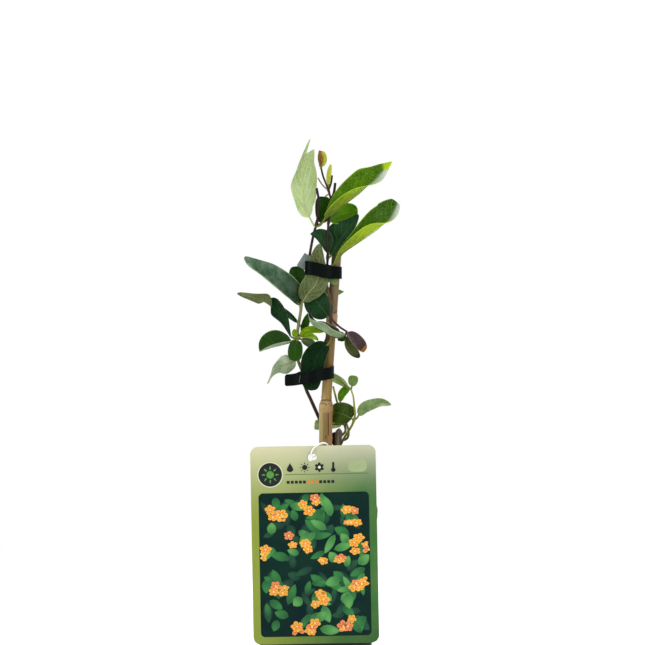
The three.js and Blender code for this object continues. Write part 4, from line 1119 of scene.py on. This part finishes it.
potPlastic = plainMaterial("potPlastic", (22, 23, 24), (14, 15, 16), 0.5, 900.0)
tapeBlack = plainMaterial("tieTape", (2, 11, 9), (1, 7, 5), 0.4, 500.0, gloss=0.08)
# the tape's tail: the black tape painted grey, a painted highlight where light catches it
paintedSheenTape = plainMaterial("tapeWithPaintedSheen", (122, 136, 128), (100, 112, 106), 0.5, 400.0, gloss=0.2)
stapleGrey = plainMaterial("staple", (96, 102, 100), (70, 76, 74), 0.4, 900.0)
whiteCord = plainMaterial("elasticCord", (246, 246, 242), (230, 230, 226), 0.6, 1500.0)
oldBark = plainMaterial("oldBark", (104, 84, 66), (38, 30, 24), 0.9, 500.0, (1, 1, 0.15), 0.9, 0.1)
greyBark = plainMaterial("greyBark", (138, 128, 112), (50, 40, 34), 0.9, 420.0, (1, 1, 0.15), 0.9, 0.1)
cutWood = plainMaterial("cutWood", (120, 106, 84), (70, 58, 46), 0.8, 700.0)


# crown

crown = {
    "stem": [(19, 6, 96), (18, 7, 122), (17.6, 8, 150), (17.6, 8, 174), (18.8, 8, 188.6)],
    "stub": [(17.4, 8, 152), (16.2, 11, 164), (15.2, 12.6, 175), (14.9, 13, 185)],
    "stemThick": (3.9, 2.6), "stubThick": (2.5, 1.8), "lip": 0.1, "rough": 0.5, "fine": 0.3,
}


def knobbed(low, high):
    # a taper that swells a little and rounds off at its cut end
    def radiusAt(share):
        lip = 1 + crown["lip"] * ramp(share, 0.85, 0.94)
        rounded = math.sqrt(1.02 - ramp(share, 0.95, 1.0) ** 2)
        return taper(low, high)(share) * lip * rounded
    return radiusAt


def barkRelief(share, angle, centre):
    x, y = math.cos(angle), math.sin(angle)
    rough = noise.noise(Vector((x * 2, y * 2, centre.z / 9)))
    fine = noise.noise(Vector((x * 6, y * 6, centre.z / 14)))
    return crown["rough"] * rough + crown["fine"] * fine - 0.2


crownParts = [
    tube("crownStem", crown["stem"], knobbed(*crown["stemThick"]), 28, 120, [greyBark, cutWood], barkRelief),
    tube("crownStub", crown["stub"], knobbed(*crown["stubThick"]), 22, 60, [oldBark, cutWood], barkRelief)]
finishPiece(joinPieces("woodyCrown", crownParts), "bark", ["crown"], 60)
print("crown made")


# tape ties
# each point of a tape: its place, and the heights of the tape's two edges there

tapes = {
    "thick": 0.45, "corner": 1.5,
    "lower": [
        ((-24.9, -5.8), 223.3, 232.6), ((-17.8, -6.3), 223.8, 233.4), ((-12.9, -8), 224.6, 234),
        ((-9, -10.4), 225.4, 234.7), ((-5.8, -11.6), 226, 235.3), ((-0.7, -12), 226.9, 236.6),
        ((4.4, -11), 228, 237.8), ((8.8, -8.6), 228.8, 238.3), ((12.2, -4.6), 229.2, 238.9),
        ((13.9, -0.4), 229.4, 239.3), ((14.2, 3.4), 229.4, 239.4), ((13.2, 7), 229.3, 239.2),
        ((9.6, 9), 228.6, 238.6), ((3, 8.8), 227.6, 237.6), ((-5, 6.6), 226.2, 236.2),
        ((-11.2, 3), 225, 235), ((-14, -2), 224.5, 234.5), ((-15.4, -5), 224.2, 233.9),
        ((-18.6, -5.6), 223.8, 233.3), ((-24.7, -5.2), 223.5, 232.5)],
    "upper": [
        ((-8, -3.9), 312.6, 323.2), ((-8.6, -6.4), 312.5, 323.4), ((-7.2, -9.6), 312.3, 323.3),
        ((-4, -11), 312.1, 322.9), ((0, -11.4), 311.3, 322.2), ((4.5, -11.3), 310.1, 321.1),
        ((9, -10.9), 309.2, 319.9), ((12.2, -10.2), 309, 319.3), ((13.2, -9), 309, 319.2),
        ((16.6, -5.6), 309.1, 318.9), ((19.4, -1.4), 308.9, 318.6), ((20.5, 3.2), 308.8, 318.4),
        ((19.9, 7.2), 308.8, 318.6), ((16, 9.4), 309.2, 319.2), ((6, 9.4), 311, 321),
        ((-3.6, 8.6), 312.2, 322.4), ((-8.2, 4.4), 312.6, 323.2), ((-8.9, 0), 312.6, 323.3),
        ((-8.4, -3.2), 312.6, 323.3)],
    "tailLow": [(-4.6, -3, 313.2), (-8.4, -3.2, 315.5), (-12, -2.2, 317.7), (-15.4, -1, 319.7)],
    "tailTop": [(0.2, -3, 324.6), (-2.9, -3.2, 326.3), (-6, -2.2, 328), (-9, -1, 329.7)],
    "staple": {"place": (-12.9, -8.9, 229.2), "size": (0.5, 0.35, 5.6), "turn": (0, 9, -32)},
}


def tapeStrip(name, low, top, material, rows, corners=False):
    # between its two edges; corners: both ends are rounded off
    lowPath, topPath = pathThrough(low), pathThrough(top)
    corner = tapes["corner"]

    def place(across, lengthwise):
        under, over = lowPath(lengthwise)[0], topPath(lengthwise)[0]
        if corners:
            fromEnd = min(lengthwise, 1 - lengthwise) * lowPath.length
            gone = max(corner - fromEnd, 0)
            cut = corner - math.sqrt(corner ** 2 - gone ** 2)
            across = 0.5 + (across - 0.5) * (1 - 2 * cut / (over - under).length)
        return under.lerp(over, across)

    strip = gridSheet(name, rows, 8, place)
    strip.data.materials.append(material)
    addModifier(strip, "SOLIDIFY", thickness=tapes["thick"], offset=0)
    applyModifiers(strip)
    return strip


def tapeRing(name, points, corners):
    low = [(*spot, down) for spot, down, up in points]
    top = [(*spot, up) for spot, down, up in points]
    return tapeStrip(name, low, top, tapeBlack, 130, corners)


def makeStaple():
    staple = newPiece(bpy.ops.mesh.primitive_cube_add, "staple", size=1, location=tapes["staple"]["place"])
    staple.scale = tapes["staple"]["size"]
    staple.rotation_euler = [math.radians(turn) for turn in tapes["staple"]["turn"]]
    addModifier(staple, "BEVEL", width=0.1, segments=2)
    applyModifiers(staple)
    staple.data.materials.append(stapleGrey)
    return staple


staple = makeStaple()
lowerTie = joinPieces("lowerTie", [tapeRing("lowerTie", tapes["lower"], True), staple])
finishPiece(lowerTie, "tie_tape", ["tie_lower"])
# the tail is made of the tape with the painted highlight
tail = tapeStrip("tapeTail", tapes["tailLow"], tapes["tailTop"], paintedSheenTape, 24)
upperTie = joinPieces("upperTie", [tapeRing("upperTie", tapes["upper"], False), tail])
finishPiece(upperTie, "tie_tape", ["tie_upper"])
print("ties made")


# hang label
# its own frame: x to the right, z up, both from its middle; its print lies on the front face

label = {
    "width": 97.5, "height": 153.3, "corner": 6, "thick": 0.8, "bevel": 0.18,
    "centre": (-0.9, -50.1, 103.2), "back": 3.0, "side": 1.1,  # leans back and sideways, in degrees
    "hole": (0.4, 67.9, 2.5),
    "print": 0.05,  # the thickness of one printed layer
    "window": {"left": -42.9, "right": 42.9, "low": -70.85, "high": 40.5, "corner": 3.5},
    "badge": {"x": -33.5, "z": 54.8, "radius": 9.2, "rim": 0.7, "sun": 2.9, "rays": 3.7},
    "rule": (10, 54.7, 64.6, 0.45), "arch": (34.3, 55.9, 14.8, 9.7), "archCorner": 4.2,
    "signs": {"z": 60, "drop": -18, "sun": -6.6, "flower": 4.8, "gauge": 15.6},
    "squares": {"first": -19.6, "step": 3.15, "size": 2.3, "z": 48.7, "months": 12, "flowering": (5, 6, 7)},
    # the card's tones, left and right, and the heights between which they change
    "headTones": ((212, 209, 170), (190, 191, 163)), "sideTones": ((133, 149, 48), (46, 102, 40)),
    "footTone": (34, 84, 30), "grainTone": (150, 160, 100),
    "toneHalf": 46, "footFrom": -40, "footTo": -74, "headFrom": 14, "headRise": 20, "headTo": 76,
    "headPower": 1.8,
}
picture = {
    "seed": 31, "leaves": 150, "shaded": 60, "lit": 112,  # the first are darker, those from lit on lighter
    "firstLayer": 2.0, "leafLayer": 0.04, "blossomLayer": 0.1,
    "clusters": [(-27, 24), (-2, 31), (25, 22), (35, 0), (-34, -8), (-12, 2), (13, -14), (-25, -36),
                 (4, -42), (31, -33), (-8, -63), (22, -60)],
    "spreadX": 8, "spreadZ": 5.5, "petals": 5, "rosy": 0.16,
}


def labelMaterial():
    material, tree, shader = newMaterial("labelCard", 0.38, 0.3)
    x, y, z = label["centre"]
    half = label["toneHalf"]
    places = partsOf(tree, objectPlaces(tree))
    right = spread(tree, places[0], (x - half) * unit, (x + half) * unit)
    header = mixColours(tree, right, *label["headTones"])
    sides = mixColours(tree, right, *label["sideTones"])
    low = spread(tree, places[2], (z + label["footTo"]) * unit, (z + label["footFrom"]) * unit, 0.8, 0.0)
    sides = overlay(tree, sides, low, right, label["footTone"])
    start = scaled(tree, right, label["headRise"] * unit, (z + label["headFrom"]) * unit)
    rise = shareOf(tree, places[2], start, (z + label["headTo"]) * unit)
    tone = mixColours(tree, calculate(tree, "POWER", rise, label["headPower"]), sides, header)
    grain = grainValue(tree, (1, 1, 1), 60.0, 0.3)
    paint(tree, shader, overlay(tree, tone, grain, 0.12, label["grainTone"]))
    roughnessFrom(tree, shader, grain, 0.3, 0.42)
    addBump(tree, shader, grainValue(tree, (1, 1, 1), 900.0, 0.3), 0.03, 0.0001)
    return material


def inkMaterial(name, base, deep):
    return plainMaterial(name, base, deep, 0.4, 200.0, bump=0.02, gloss=0.25)


def shadedInk(name, foot, tip, edge):
    # a printed leaf or petal: one tone at its foot, another at its tip, and a third along its edge
    material, tree, shader = newMaterial(name, 0.4, 0.25)
    across, lengthwise = partsOf(tree, uvOf(tree))[:2]
    tone = mixColours(tree, spread(tree, lengthwise, 0.05, 0.8), foot, tip)
    away = calculate(tree, "ABSOLUTE", scaled(tree, across, 2.0, -1.0))
    tone = mixColours(tree, spread(tree, away, 0.45, 1.0), tone, edge)
    grain = grainValue(tree, (1, 1, 1), 500.0, 0.3)
    paint(tree, shader, overlay(tree, tone, grain, 0.3, foot))
    return material


def uprightRectangle(name, width, height, corner):
    # one flat face that looks along -Y
    face = newPiece(bpy.ops.mesh.primitive_plane_add, name, size=1)
    face.scale = (width, height, 1)
    settle(face)
    if corner:
        bpy.ops.object.mode_set(mode="EDIT")
        bpy.ops.mesh.select_all(action="SELECT")
        bpy.ops.mesh.bevel(offset=corner, segments=10, affect="VERTICES")
        bpy.ops.object.mode_set(mode="OBJECT")
    face.rotation_euler = (math.pi / 2, 0, 0)
    settle(face)
    return face


def thicken(obj, thick, material):
    addModifier(obj, "SOLIDIFY", thickness=thick, offset=-1)
    applyModifiers(obj)
    obj.data.materials.append(material)
    return obj


def printedShape(name, length, width, swell, point, material, rows=6, columns=4):
    # a thin shape that stands on its foot and runs to a tip
    outlineAt = outlineOf(swell, point)

    def place(across, lengthwise):
        reach = width / 2 * outlineAt(lengthwise) + 0.02
        return Vector(((2 * across - 1) * reach, 0, lengthwise * length))

    return thicken(gridSheet(name, rows, columns, place), label["print"], material)


def printedDisc(name, radius, material, sides=32):
    disc = newPiece(bpy.ops.mesh.primitive_circle_add, name, vertices=sides, radius=radius,
                    fill_type="NGON", rotation=(math.pi / 2, 0, 0))
    settle(disc)
    return thicken(disc, label["print"], material)


def printedBar(name, width, height, material, corner=0.0):
    return thicken(uprightRectangle(name, width, height, corner), label["print"], material)


def moved(obj, x, layer, z, turn=0):
    # onto the label's face; a higher layer lies nearer to the eye
    spin = Matrix.Rotation(math.radians(turn), 4, "Y")
    front = -label["thick"] - label["print"] * layer
    obj.data.transform(Matrix.Translation((x, front, z)) @ spin)
    return obj


def ringOf(template, count, x, layer, z, out=0.0):
    # copies of a template round a place, each turned outwards; the template goes
    ring = []
    for k in range(count):
        turn = 360 / count * k
        way = math.radians(turn)
        ring.append(moved(copyOf(template), x + out * math.sin(way), layer, z + out * math.cos(way), turn))
    bpy.data.objects.remove(template)
    return ring


def printHeader():
    ink = inkMaterial("darkInk", (34, 38, 34), (22, 26, 24))
    pale = inkMaterial("paleInk", (226, 230, 206), (206, 214, 186))
    leafInk = inkMaterial("greenInk", (96, 160, 74), (66, 128, 56))
    ruleInk = inkMaterial("ruleInk", (74, 112, 60), (58, 96, 50))
    faintInk = inkMaterial("faintInk", (164, 176, 130), (150, 166, 118))
    orangeInk = inkMaterial("orangeInk", (224, 140, 36), (206, 118, 28))
    badge = label["badge"]
    x, z = badge["x"], badge["z"]
    ray = printedShape("badgeRay", 3.2, 1.3, 0.3, 0.8, leafInk, 4, 2)
    smallRay = copyOf(ray, Matrix.Diagonal((0.5, 1, 0.5, 1)))
    smallRay.data.materials[0] = ink
    parts = [moved(printedDisc("badgeRim", badge["radius"] + badge["rim"], pale, 48), x, 1, z),
             moved(printedDisc("badge", badge["radius"], ink, 48), x, 2, z),
             moved(printedDisc("badgeSun", badge["sun"], leafInk), x, 3, z),
             *ringOf(ray, 8, x, 3, z, badge["rays"])]
    x, z, width, height = label["rule"]
    parts.append(moved(printedBar("rule", width, height, ruleInk), x, 1, z))
    x, z, width, height = label["arch"]
    arch = printedBar("arch", width, height, faintInk, label["archCorner"])
    parts.append(moved(arch, x, 1, z + height / 2))

    # care signs: a drop, a sun, a flower and a thermometer
    signs = label["signs"]
    z = signs["z"]
    petal = printedShape("signPetal", 3.9, 2.3, 0.8, 0.4, ink, 4, 2)
    parts += [moved(printedShape("drop", 7.4, 5, 0.5, 1.3, ink), signs["drop"], 2, z - 3.7),
              moved(printedDisc("sun", 2, ink), signs["sun"], 2, z),
              *ringOf(smallRay, 8, signs["sun"], 2, z, 2.5),
              *ringOf(petal, 6, signs["flower"], 2, z),
              moved(printedDisc("signHeart", 1.1, pale), signs["flower"], 3, z),
              moved(printedBar("tubeSign", 1.7, 7, ink, 0.8), signs["gauge"], 2, z + 0.4),
              moved(printedDisc("bulbSign", 1.7, ink), signs["gauge"], 2, z - 2.2)]

    # a square for each month, the flowering ones in orange
    squares = label["squares"]
    for month in range(squares["months"]):
        tint = orangeInk if month in squares["flowering"] else ink
        box = printedBar("month", squares["size"], squares["size"], tint, 0.3)
        parts.append(moved(box, squares["first"] + month * squares["step"], 2, squares["z"]))
    return parts


def keepInside(parts, obj, margin):
    # what doesn't lie wholly in the picture's window is dropped
    window = label["window"]
    inside = all(window["left"] + margin < vertex.co.x < window["right"] - margin
                 and window["low"] + margin < vertex.co.z < window["high"] - margin
                 for vertex in obj.data.vertices)
    if inside:
        parts.append(obj)
    else:
        bpy.data.objects.remove(obj)
    return inside


def printPicture():
    window = label["window"]
    width = window["right"] - window["left"]
    height = window["high"] - window["low"]
    ground = plainMaterial("pictureGround", (3, 28, 32), (8, 46, 34), 0.4, 45.0, bump=0.02, gloss=0.1)
    greens = [shadedInk("shadeLeaf", (10, 52, 40), (22, 80, 48), (8, 44, 38)),
              shadedInk("midLeaf", (28, 88, 46), (52, 124, 60), (36, 104, 54)),
              shadedInk("litLeaf", (50, 116, 56), (96, 160, 84), (70, 138, 70))]
    orange = shadedInk("orangePetal", (214, 104, 20), (242, 168, 40), (252, 206, 110))
    rose = shadedInk("rosePetal", (196, 84, 40), (232, 130, 74), (244, 176, 120))
    heart = inkMaterial("blossomHeart", (250, 224, 140), (228, 186, 84))
    panel = printedBar("picture", width, height, ground, window["corner"])
    parts = [moved(panel, 0, 1, window["low"] + height / 2)]
    draw = random.Random(picture["seed"])
    layer = picture["firstLayer"]
    for k in range(picture["leaves"]):
        tone = greens[(k >= picture["shaded"]) + (k >= picture["lit"])]
        leaf = printedShape("printLeaf", draw.uniform(9, 17), draw.uniform(4.6, 8), 0.7, 0.8, tone)
        x = draw.uniform(window["left"], window["right"])
        z = draw.uniform(window["low"], window["high"])
        moved(leaf, x, layer, z, draw.uniform(0, 360))
        if keepInside(parts, leaf, 0.5):
            layer += picture["leafLayer"]
    petals = [printedShape("petal", 4.6, 3.3, 0.9, 0.35, tone, 4, 2) for tone in (orange, rose)]
    dot = printedDisc("heart", 0.8, heart, 10)
    fullTurn = 360 / picture["petals"]
    for x, z in picture["clusters"]:
        for blossom in range(draw.randint(4, 6)):
            left = x + draw.uniform(-picture["spreadX"], picture["spreadX"])
            up = z + draw.uniform(-picture["spreadZ"], picture["spreadZ"])
            size = draw.uniform(0.75, 1.15)
            turn = draw.uniform(0, fullTurn)
            kind = petals[1 if draw.random() < picture["rosy"] else 0]
            flat = draw.uniform(0.55, 1)
            for k in range(picture["petals"]):
                petal = copyOf(kind, Matrix.Diagonal((size, 1, size, 1)))
                spin = Matrix.Rotation(math.radians(turn + fullTurn * k), 4, "Y")
                petal.data.transform(Matrix.Diagonal((1, 1, flat, 1)) @ spin)
                keepInside(parts, moved(petal, left, layer + 0.3 * (k % 2), up), -0.01)
            parts.append(moved(copyOf(dot), left, layer + 0.8, up))
            layer += picture["blossomLayer"]
    for template in (*petals, dot):
        bpy.data.objects.remove(template)
    return parts


def makeLabel():
    plate = uprightRectangle("hangLabel", label["width"], label["height"], label["corner"])
    plate.data.transform(Matrix.Translation((0, -label["thick"], 0)))
    thicken(plate, label["thick"], labelMaterial())
    x, z, radius = label["hole"]
    punch = newPiece(bpy.ops.mesh.primitive_cylinder_add, "punch", vertices=40, radius=radius, depth=6,
                     location=(x, 0, z), rotation=(math.pi / 2, 0, 0))
    settle(punch)
    cutAway(plate, punch)
    addModifier(plate, "BEVEL", width=label["bevel"], segments=2, limit_method="ANGLE",
                angle_limit=math.radians(50))
    applyModifiers(plate)
    whole = joinPieces("hangLabel", [plate, *printHeader(), *printPicture()])
    lean = Matrix.Rotation(math.radians(-label["back"]), 4, "X")
    slant = Matrix.Rotation(math.radians(-label["side"]), 4, "Y")
    whole.data.transform(Matrix.Translation(label["centre"]) @ lean @ slant)
    finishPiece(whole, "label_plastic", ["label"], 20)


makeLabel()
print("label made")


# elastic loop

loop = {
    "path": [(-3.5, -48.7, 170.8), (-3.7, -48.9, 174), (-2.2, -48.8, 177.6), (1.4, -47.6, 180.6),
             (5.4, -45.6, 181.8), (8.6, -42.4, 180.6), (8.4, -32, 177), (3, -12, 172.9), (0.9, 2, 171.2),
             (3.4, 9.4, 170.8), (8, 11, 170.6), (12.3, 8.8, 170.6), (14.1, 4, 170.8), (13.2, -4, 171),
             (8.6, -20, 172), (1.4, -38, 172), (-1.7, -44.4, 171.2), (-2.1, -47.3, 171),
             (-2.6, -48.8, 170.7)],
    "thick": 0.7, "knot": (-4.2, -48.8, 170.9), "knotSize": (2.1, 1.3, 2.9),
    "strands": [(2, 900, 0.05), (3, -1300, 0.03)],  # how many, how far they wind in radians, how high
}


def cordRelief(share, angle, centre):
    return sum(high * math.sin(count * angle + wound * share) for count, wound, high in loop["strands"])


knot = newPiece(bpy.ops.mesh.primitive_uv_sphere_add, "knot", segments=24, ring_count=16, radius=1,
                location=loop["knot"])
knot.scale = loop["knotSize"]
settle(knot)
knot.data.materials.append(whiteCord)
evenly = taper(loop["thick"], loop["thick"])
cord = tube("elasticLoop", loop["path"], evenly, 10, 420, [whiteCord], cordRelief)
finishPiece(joinPieces("elasticLoop", [cord, knot]), "label_cord", ["label_loop"], 60)
print("loop made")


# pot and soil

pot = {
    "height": 130, "foot": 43.4, "brim": 46.3, "wall": 1.3, "floor": 1.6, "corner": 7,
    "rim": {"height": 8, "reach": 2, "corner": 8.5},
    "drains": {"radius": 4, "out": 27, "sides": 1.1},  # those at the sides lie a little farther out
    "columns": 216,
}
soil = {
    "level": 121.5, "relief": 1.6, "lumps": 0.7, "gap": 0.3, "rings": 56, "reach": 41, "seed": 5,
    "crumbs": 420, "chips": 60, "grit": 70,
}


def potHalf(level):
    return pot["foot"] + (pot["brim"] - pot["foot"]) * level / pot["height"]


def squareOutline(half, corner, share):
    # a point on a rounded square, at a share of the way round it
    straight = 2 * (half - corner)
    arc = math.pi * corner / 2
    quarter, rest = divmod((share % 1) * 4, 1)
    way = rest * (straight + arc)
    if way < straight:
        x, y = half, way - straight / 2
    else:
        angle = (way - straight) / corner
        x = half - corner + corner * math.cos(angle)
        y = half - corner + corner * math.sin(angle)
    turn = quarter * math.pi / 2
    return x * math.cos(turn) - y * math.sin(turn), x * math.sin(turn) + y * math.cos(turn)


def squareLoft(name, levels, material, heightOf=None):
    # levels: height, half width and corner of each ring, from the first to the last, closed at both
    def place(across, lengthwise):
        z, half, corner = levels[round(lengthwise * (len(levels) - 1))]
        x, y = squareOutline(half, corner, across)
        return Vector((x, y, heightOf(x, y, z) if heightOf else z))

    body = gridSheet(name, len(levels) - 1, pot["columns"], place)
    closeSheet(outward=True)
    body.data.materials.append(material)
    return body


def makePot():
    # the wall's outline, from the middle of the foot up outside, over the rim and down inside
    height, foot, brim, wall = pot["height"], pot["foot"], pot["brim"], pot["wall"]
    corner, floor, rim = pot["corner"], pot["floor"], pot["rim"]
    under = height - rim["height"]
    lip = brim + rim["reach"]
    levels = [(0.5, foot - 3.4, 4), (0.5, foot - 2.6, 4.6), (0, foot - 2.2, 5), (0.15, foot - 0.15, corner),
              (0.6, foot, corner)]
    levels += [(z, potHalf(z), corner) for z in (30, 60, 90, under - 1.2)]
    levels += [(under - 0.3, potHalf(under) + 0.15, 7.2), (under, lip - 0.9, 8),
               (under + 0.1, lip - 0.4, 8.3), (under + 0.5, lip - 0.25, rim["corner"]),
               (height - 0.8, lip, rim["corner"]),
               (height - 0.2, lip - 0.15, 8.4), (height, lip - 0.6, 8), (height, lip - 2.2, 6.4),
               (height - 0.2, brim - wall + 0.2, 5.9), (height - 0.8, brim - wall, 5.7)]
    levels += [(z, potHalf(z) - wall, corner - wall) for z in (90, 50, floor + 1.5)]
    levels += [(floor + 0.4, potHalf(0) - wall - 0.4, 5.3), (floor, potHalf(0) - wall - 1.5, 4.4)]
    body = squareLoft("squarePot", levels, potPlastic)
    out, side = pot["drains"]["out"], pot["drains"]["sides"]
    spots = [(1, 1), (-1, 1), (-1, -1), (1, -1), (side, 0), (0, side), (-side, 0), (0, -side)]
    drills = [newPiece(bpy.ops.mesh.primitive_cylinder_add, "drill", vertices=32,
                       radius=pot["drains"]["radius"], depth=8, location=(out * x, out * y, 0))
              for x, y in spots]
    drill = joinPieces("drill", drills)
    settle(drill)
    cutAway(body, drill)
    finishPiece(body, "pot_plastic", ["pot"], 35)


def soilHeight(x, y):
    hump = math.sin(0.13 * x + 1) * math.cos(0.11 * y) + 0.5 * math.sin(0.31 * x - 0.27 * y)
    coarse = noise.noise(Vector((x / 3.1, y / 3.1, 2)))
    fine = noise.noise(Vector((x / 1.3, y / 1.3, 7)))
    return soil["level"] + soil["relief"] * hump + soil["lumps"] * (coarse + 0.6 * fine)


def scatter(draw, template, count, low, high, sink, squash):
    # copies of the template over the soil, low to high in size
    bits = []
    reach = soil["reach"]
    for k in range(count):
        x, y = draw.uniform(-reach, reach), draw.uniform(-reach, reach)
        size = draw.uniform(low, high)
        spin = Matrix.Rotation(draw.uniform(0, 6.28), 4, "Z")
        tilt = Matrix.Rotation(draw.uniform(-0.5, 0.5), 4, "X")
        scale = Matrix.Diagonal((size, size * draw.uniform(0.6, 1), size * squash, 1))
        place = Matrix.Translation((x, y, soilHeight(x, y) - sink * size))
        bits.append(copyOf(template, place @ spin @ tilt @ scale))
    return bits


def makeSoil():
    compost = plainMaterial("pottingSoil", (58, 42, 31), (24, 17, 13), 0.95, 400.0, bump=0.9, gloss=0.1)
    bark = plainMaterial("barkChip", (92, 66, 44), (58, 40, 28), 0.9, 300.0, (1, 0.2, 1), 0.6, 0.1)
    perlite = plainMaterial("perlite", (214, 210, 200), (184, 178, 166), 0.9, 700.0, bump=0.5, gloss=0.1)
    gap = soil["gap"]
    inset = pot["wall"] + gap
    underside = pot["floor"] + gap
    top = soil["level"] - 2
    corner = pot["corner"] - inset
    half = potHalf(top) - inset - 0.15
    rings = soil["rings"]
    levels = [(underside, 20, 3), (underside, potHalf(0) - inset - 1.6, 4),
              (pot["floor"] + 2, potHalf(0) - inset - 0.1, corner), (60, potHalf(60) - inset, corner),
              (top, potHalf(top) - inset, corner), (soil["level"] + 1, half, corner)]
    levels += [(soil["level"] + 1, half * (1 - k / rings), max(corner * (1 - k / 40), 0.25))
               for k in range(1, rings)]

    def heightOf(x, y, z):
        return soilHeight(x, y) if z > top + 0.5 else z

    parts = [squareLoft("pottingSoil", levels, compost, heightOf)]
    draw = random.Random(soil["seed"])
    crumb = newPiece(bpy.ops.mesh.primitive_ico_sphere_add, "crumb", subdivisions=1, radius=1)
    for vertex in crumb.data.vertices:
        vertex.co *= 1 + 0.35 * noise.noise(vertex.co * 1.7)
    for material, count, low, high in ((compost, soil["crumbs"], 0.5, 1.5),
                                       (perlite, soil["grit"], 0.4, 1.0)):
        crumb.data.materials.clear()
        crumb.data.materials.append(material)
        parts += scatter(draw, crumb, count, low, high, 0.1, 0.8)
    chip = newPiece(bpy.ops.mesh.primitive_cube_add, "chip", size=2)
    chip.data.materials.append(bark)
    parts += scatter(draw, chip, soil["chips"], 1.2, 2.8, 0.0, 0.22)
    for template in (crumb, chip):
        bpy.data.objects.remove(template)
    finishPiece(joinPieces("pottingSoil", parts), "potting_soil", ["soil"], 40)


makePot()
makeSoil()
print("pot and soil made")


# stage, lamps and camera
# the stage and the lamps are in metres

stage = {
    "floorSize": 8.0, "below": 0.0004, "floorTone": (0.86, 0.86, 0.86, 1), "near": 0.25, "far": 0.7,
    "sky": (1.0, 1.0, 1.0, 1), "skyTint": (0.92, 0.96, 1, 1), "skyLight": 0.22,
}
lamps = {
    "topBack": {"place": (0.5, 0.6, 1.6), "aim": (0, 0, 0.25), "power": 44},
    "frontRight": {"place": (1.1, -1.9, 1.0), "aim": (0, 0, 0.2), "power": 20},
    "frontLeft": {"place": (-1.4, -1.4, 0.9), "aim": (0, 0, 0.2), "power": 17},
}
camera = {"target": (5.2, 0, 274), "distance": 1500, "rise": 2.0, "lens": 104.65, "sensor": 36}


def makeFloor():
    # fades into the sky with its distance, for the camera only
    floor = newPiece(bpy.ops.mesh.primitive_plane_add, "paleFloor", size=stage["floorSize"],
                     location=(0, 0, -stage["below"]))
    material, tree, shader = newMaterial("paleFloor", 0.8, 0.1)
    shader.inputs["Base Color"].default_value = stage["floorTone"]
    places = objectPlaces(tree)
    away = addNode(tree, "ShaderNodeVectorMath", {0: places}, operation="LENGTH").outputs["Value"]
    seen = addNode(tree, "ShaderNodeLightPath").outputs["Is Camera Ray"]
    far = times(tree, spread(tree, away, stage["near"], stage["far"]), seen)
    backdrop = addNode(tree, "ShaderNodeEmission", {"Color": stage["sky"], "Strength": 1.0})
    both = mixShaders(tree, far, shader, backdrop)
    tree.links.new(both, tree.nodes["Material Output"].inputs["Surface"])
    floor.data.materials.append(material)


def makeSky():
    world = bpy.data.worlds.new("studio")
    bpy.context.scene.world = world
    world.use_nodes = True
    tree = world.node_tree
    tree.nodes.clear()
    seen = addNode(tree, "ShaderNodeLightPath").outputs["Is Camera Ray"]
    light = addNode(tree, "ShaderNodeBackground", {"Color": stage["skyTint"], "Strength": stage["skyLight"]})
    backdrop = addNode(tree, "ShaderNodeBackground", {"Color": stage["sky"], "Strength": 1.0})
    addNode(tree, "ShaderNodeOutputWorld", {0: mixShaders(tree, seen, light, backdrop)})


def aimAt(obj, way):
    obj.rotation_euler = way.to_track_quat("-Z", "Y").to_euler()


def addLamp(name, place, aim, power):
    clearSelection()
    bpy.ops.object.light_add(type="AREA", location=place)
    lamp = bpy.context.object
    lamp.name = name
    lamp.data.energy = power
    lamp.data.size = 1.0
    aimAt(lamp, Vector(aim) - Vector(place))


def makeCamera():
    aim = Vector(camera["target"]) * unit
    rise = math.radians(camera["rise"])
    away = Vector((0, -math.cos(rise), math.sin(rise))) * camera["distance"] * unit
    clearSelection()
    bpy.ops.object.camera_add(location=aim + away)
    eye = bpy.context.object
    aimAt(eye, -away)
    eye.data.lens = camera["lens"]
    eye.data.sensor_width = camera["sensor"]
    bpy.context.scene.camera = eye


makeFloor()
makeSky()
for name, lamp in lamps.items():
    addLamp(name, **lamp)
makeCamera()
bpy.context.scene.view_settings.view_transform = "Standard"
print("stage, lamps and camera set")
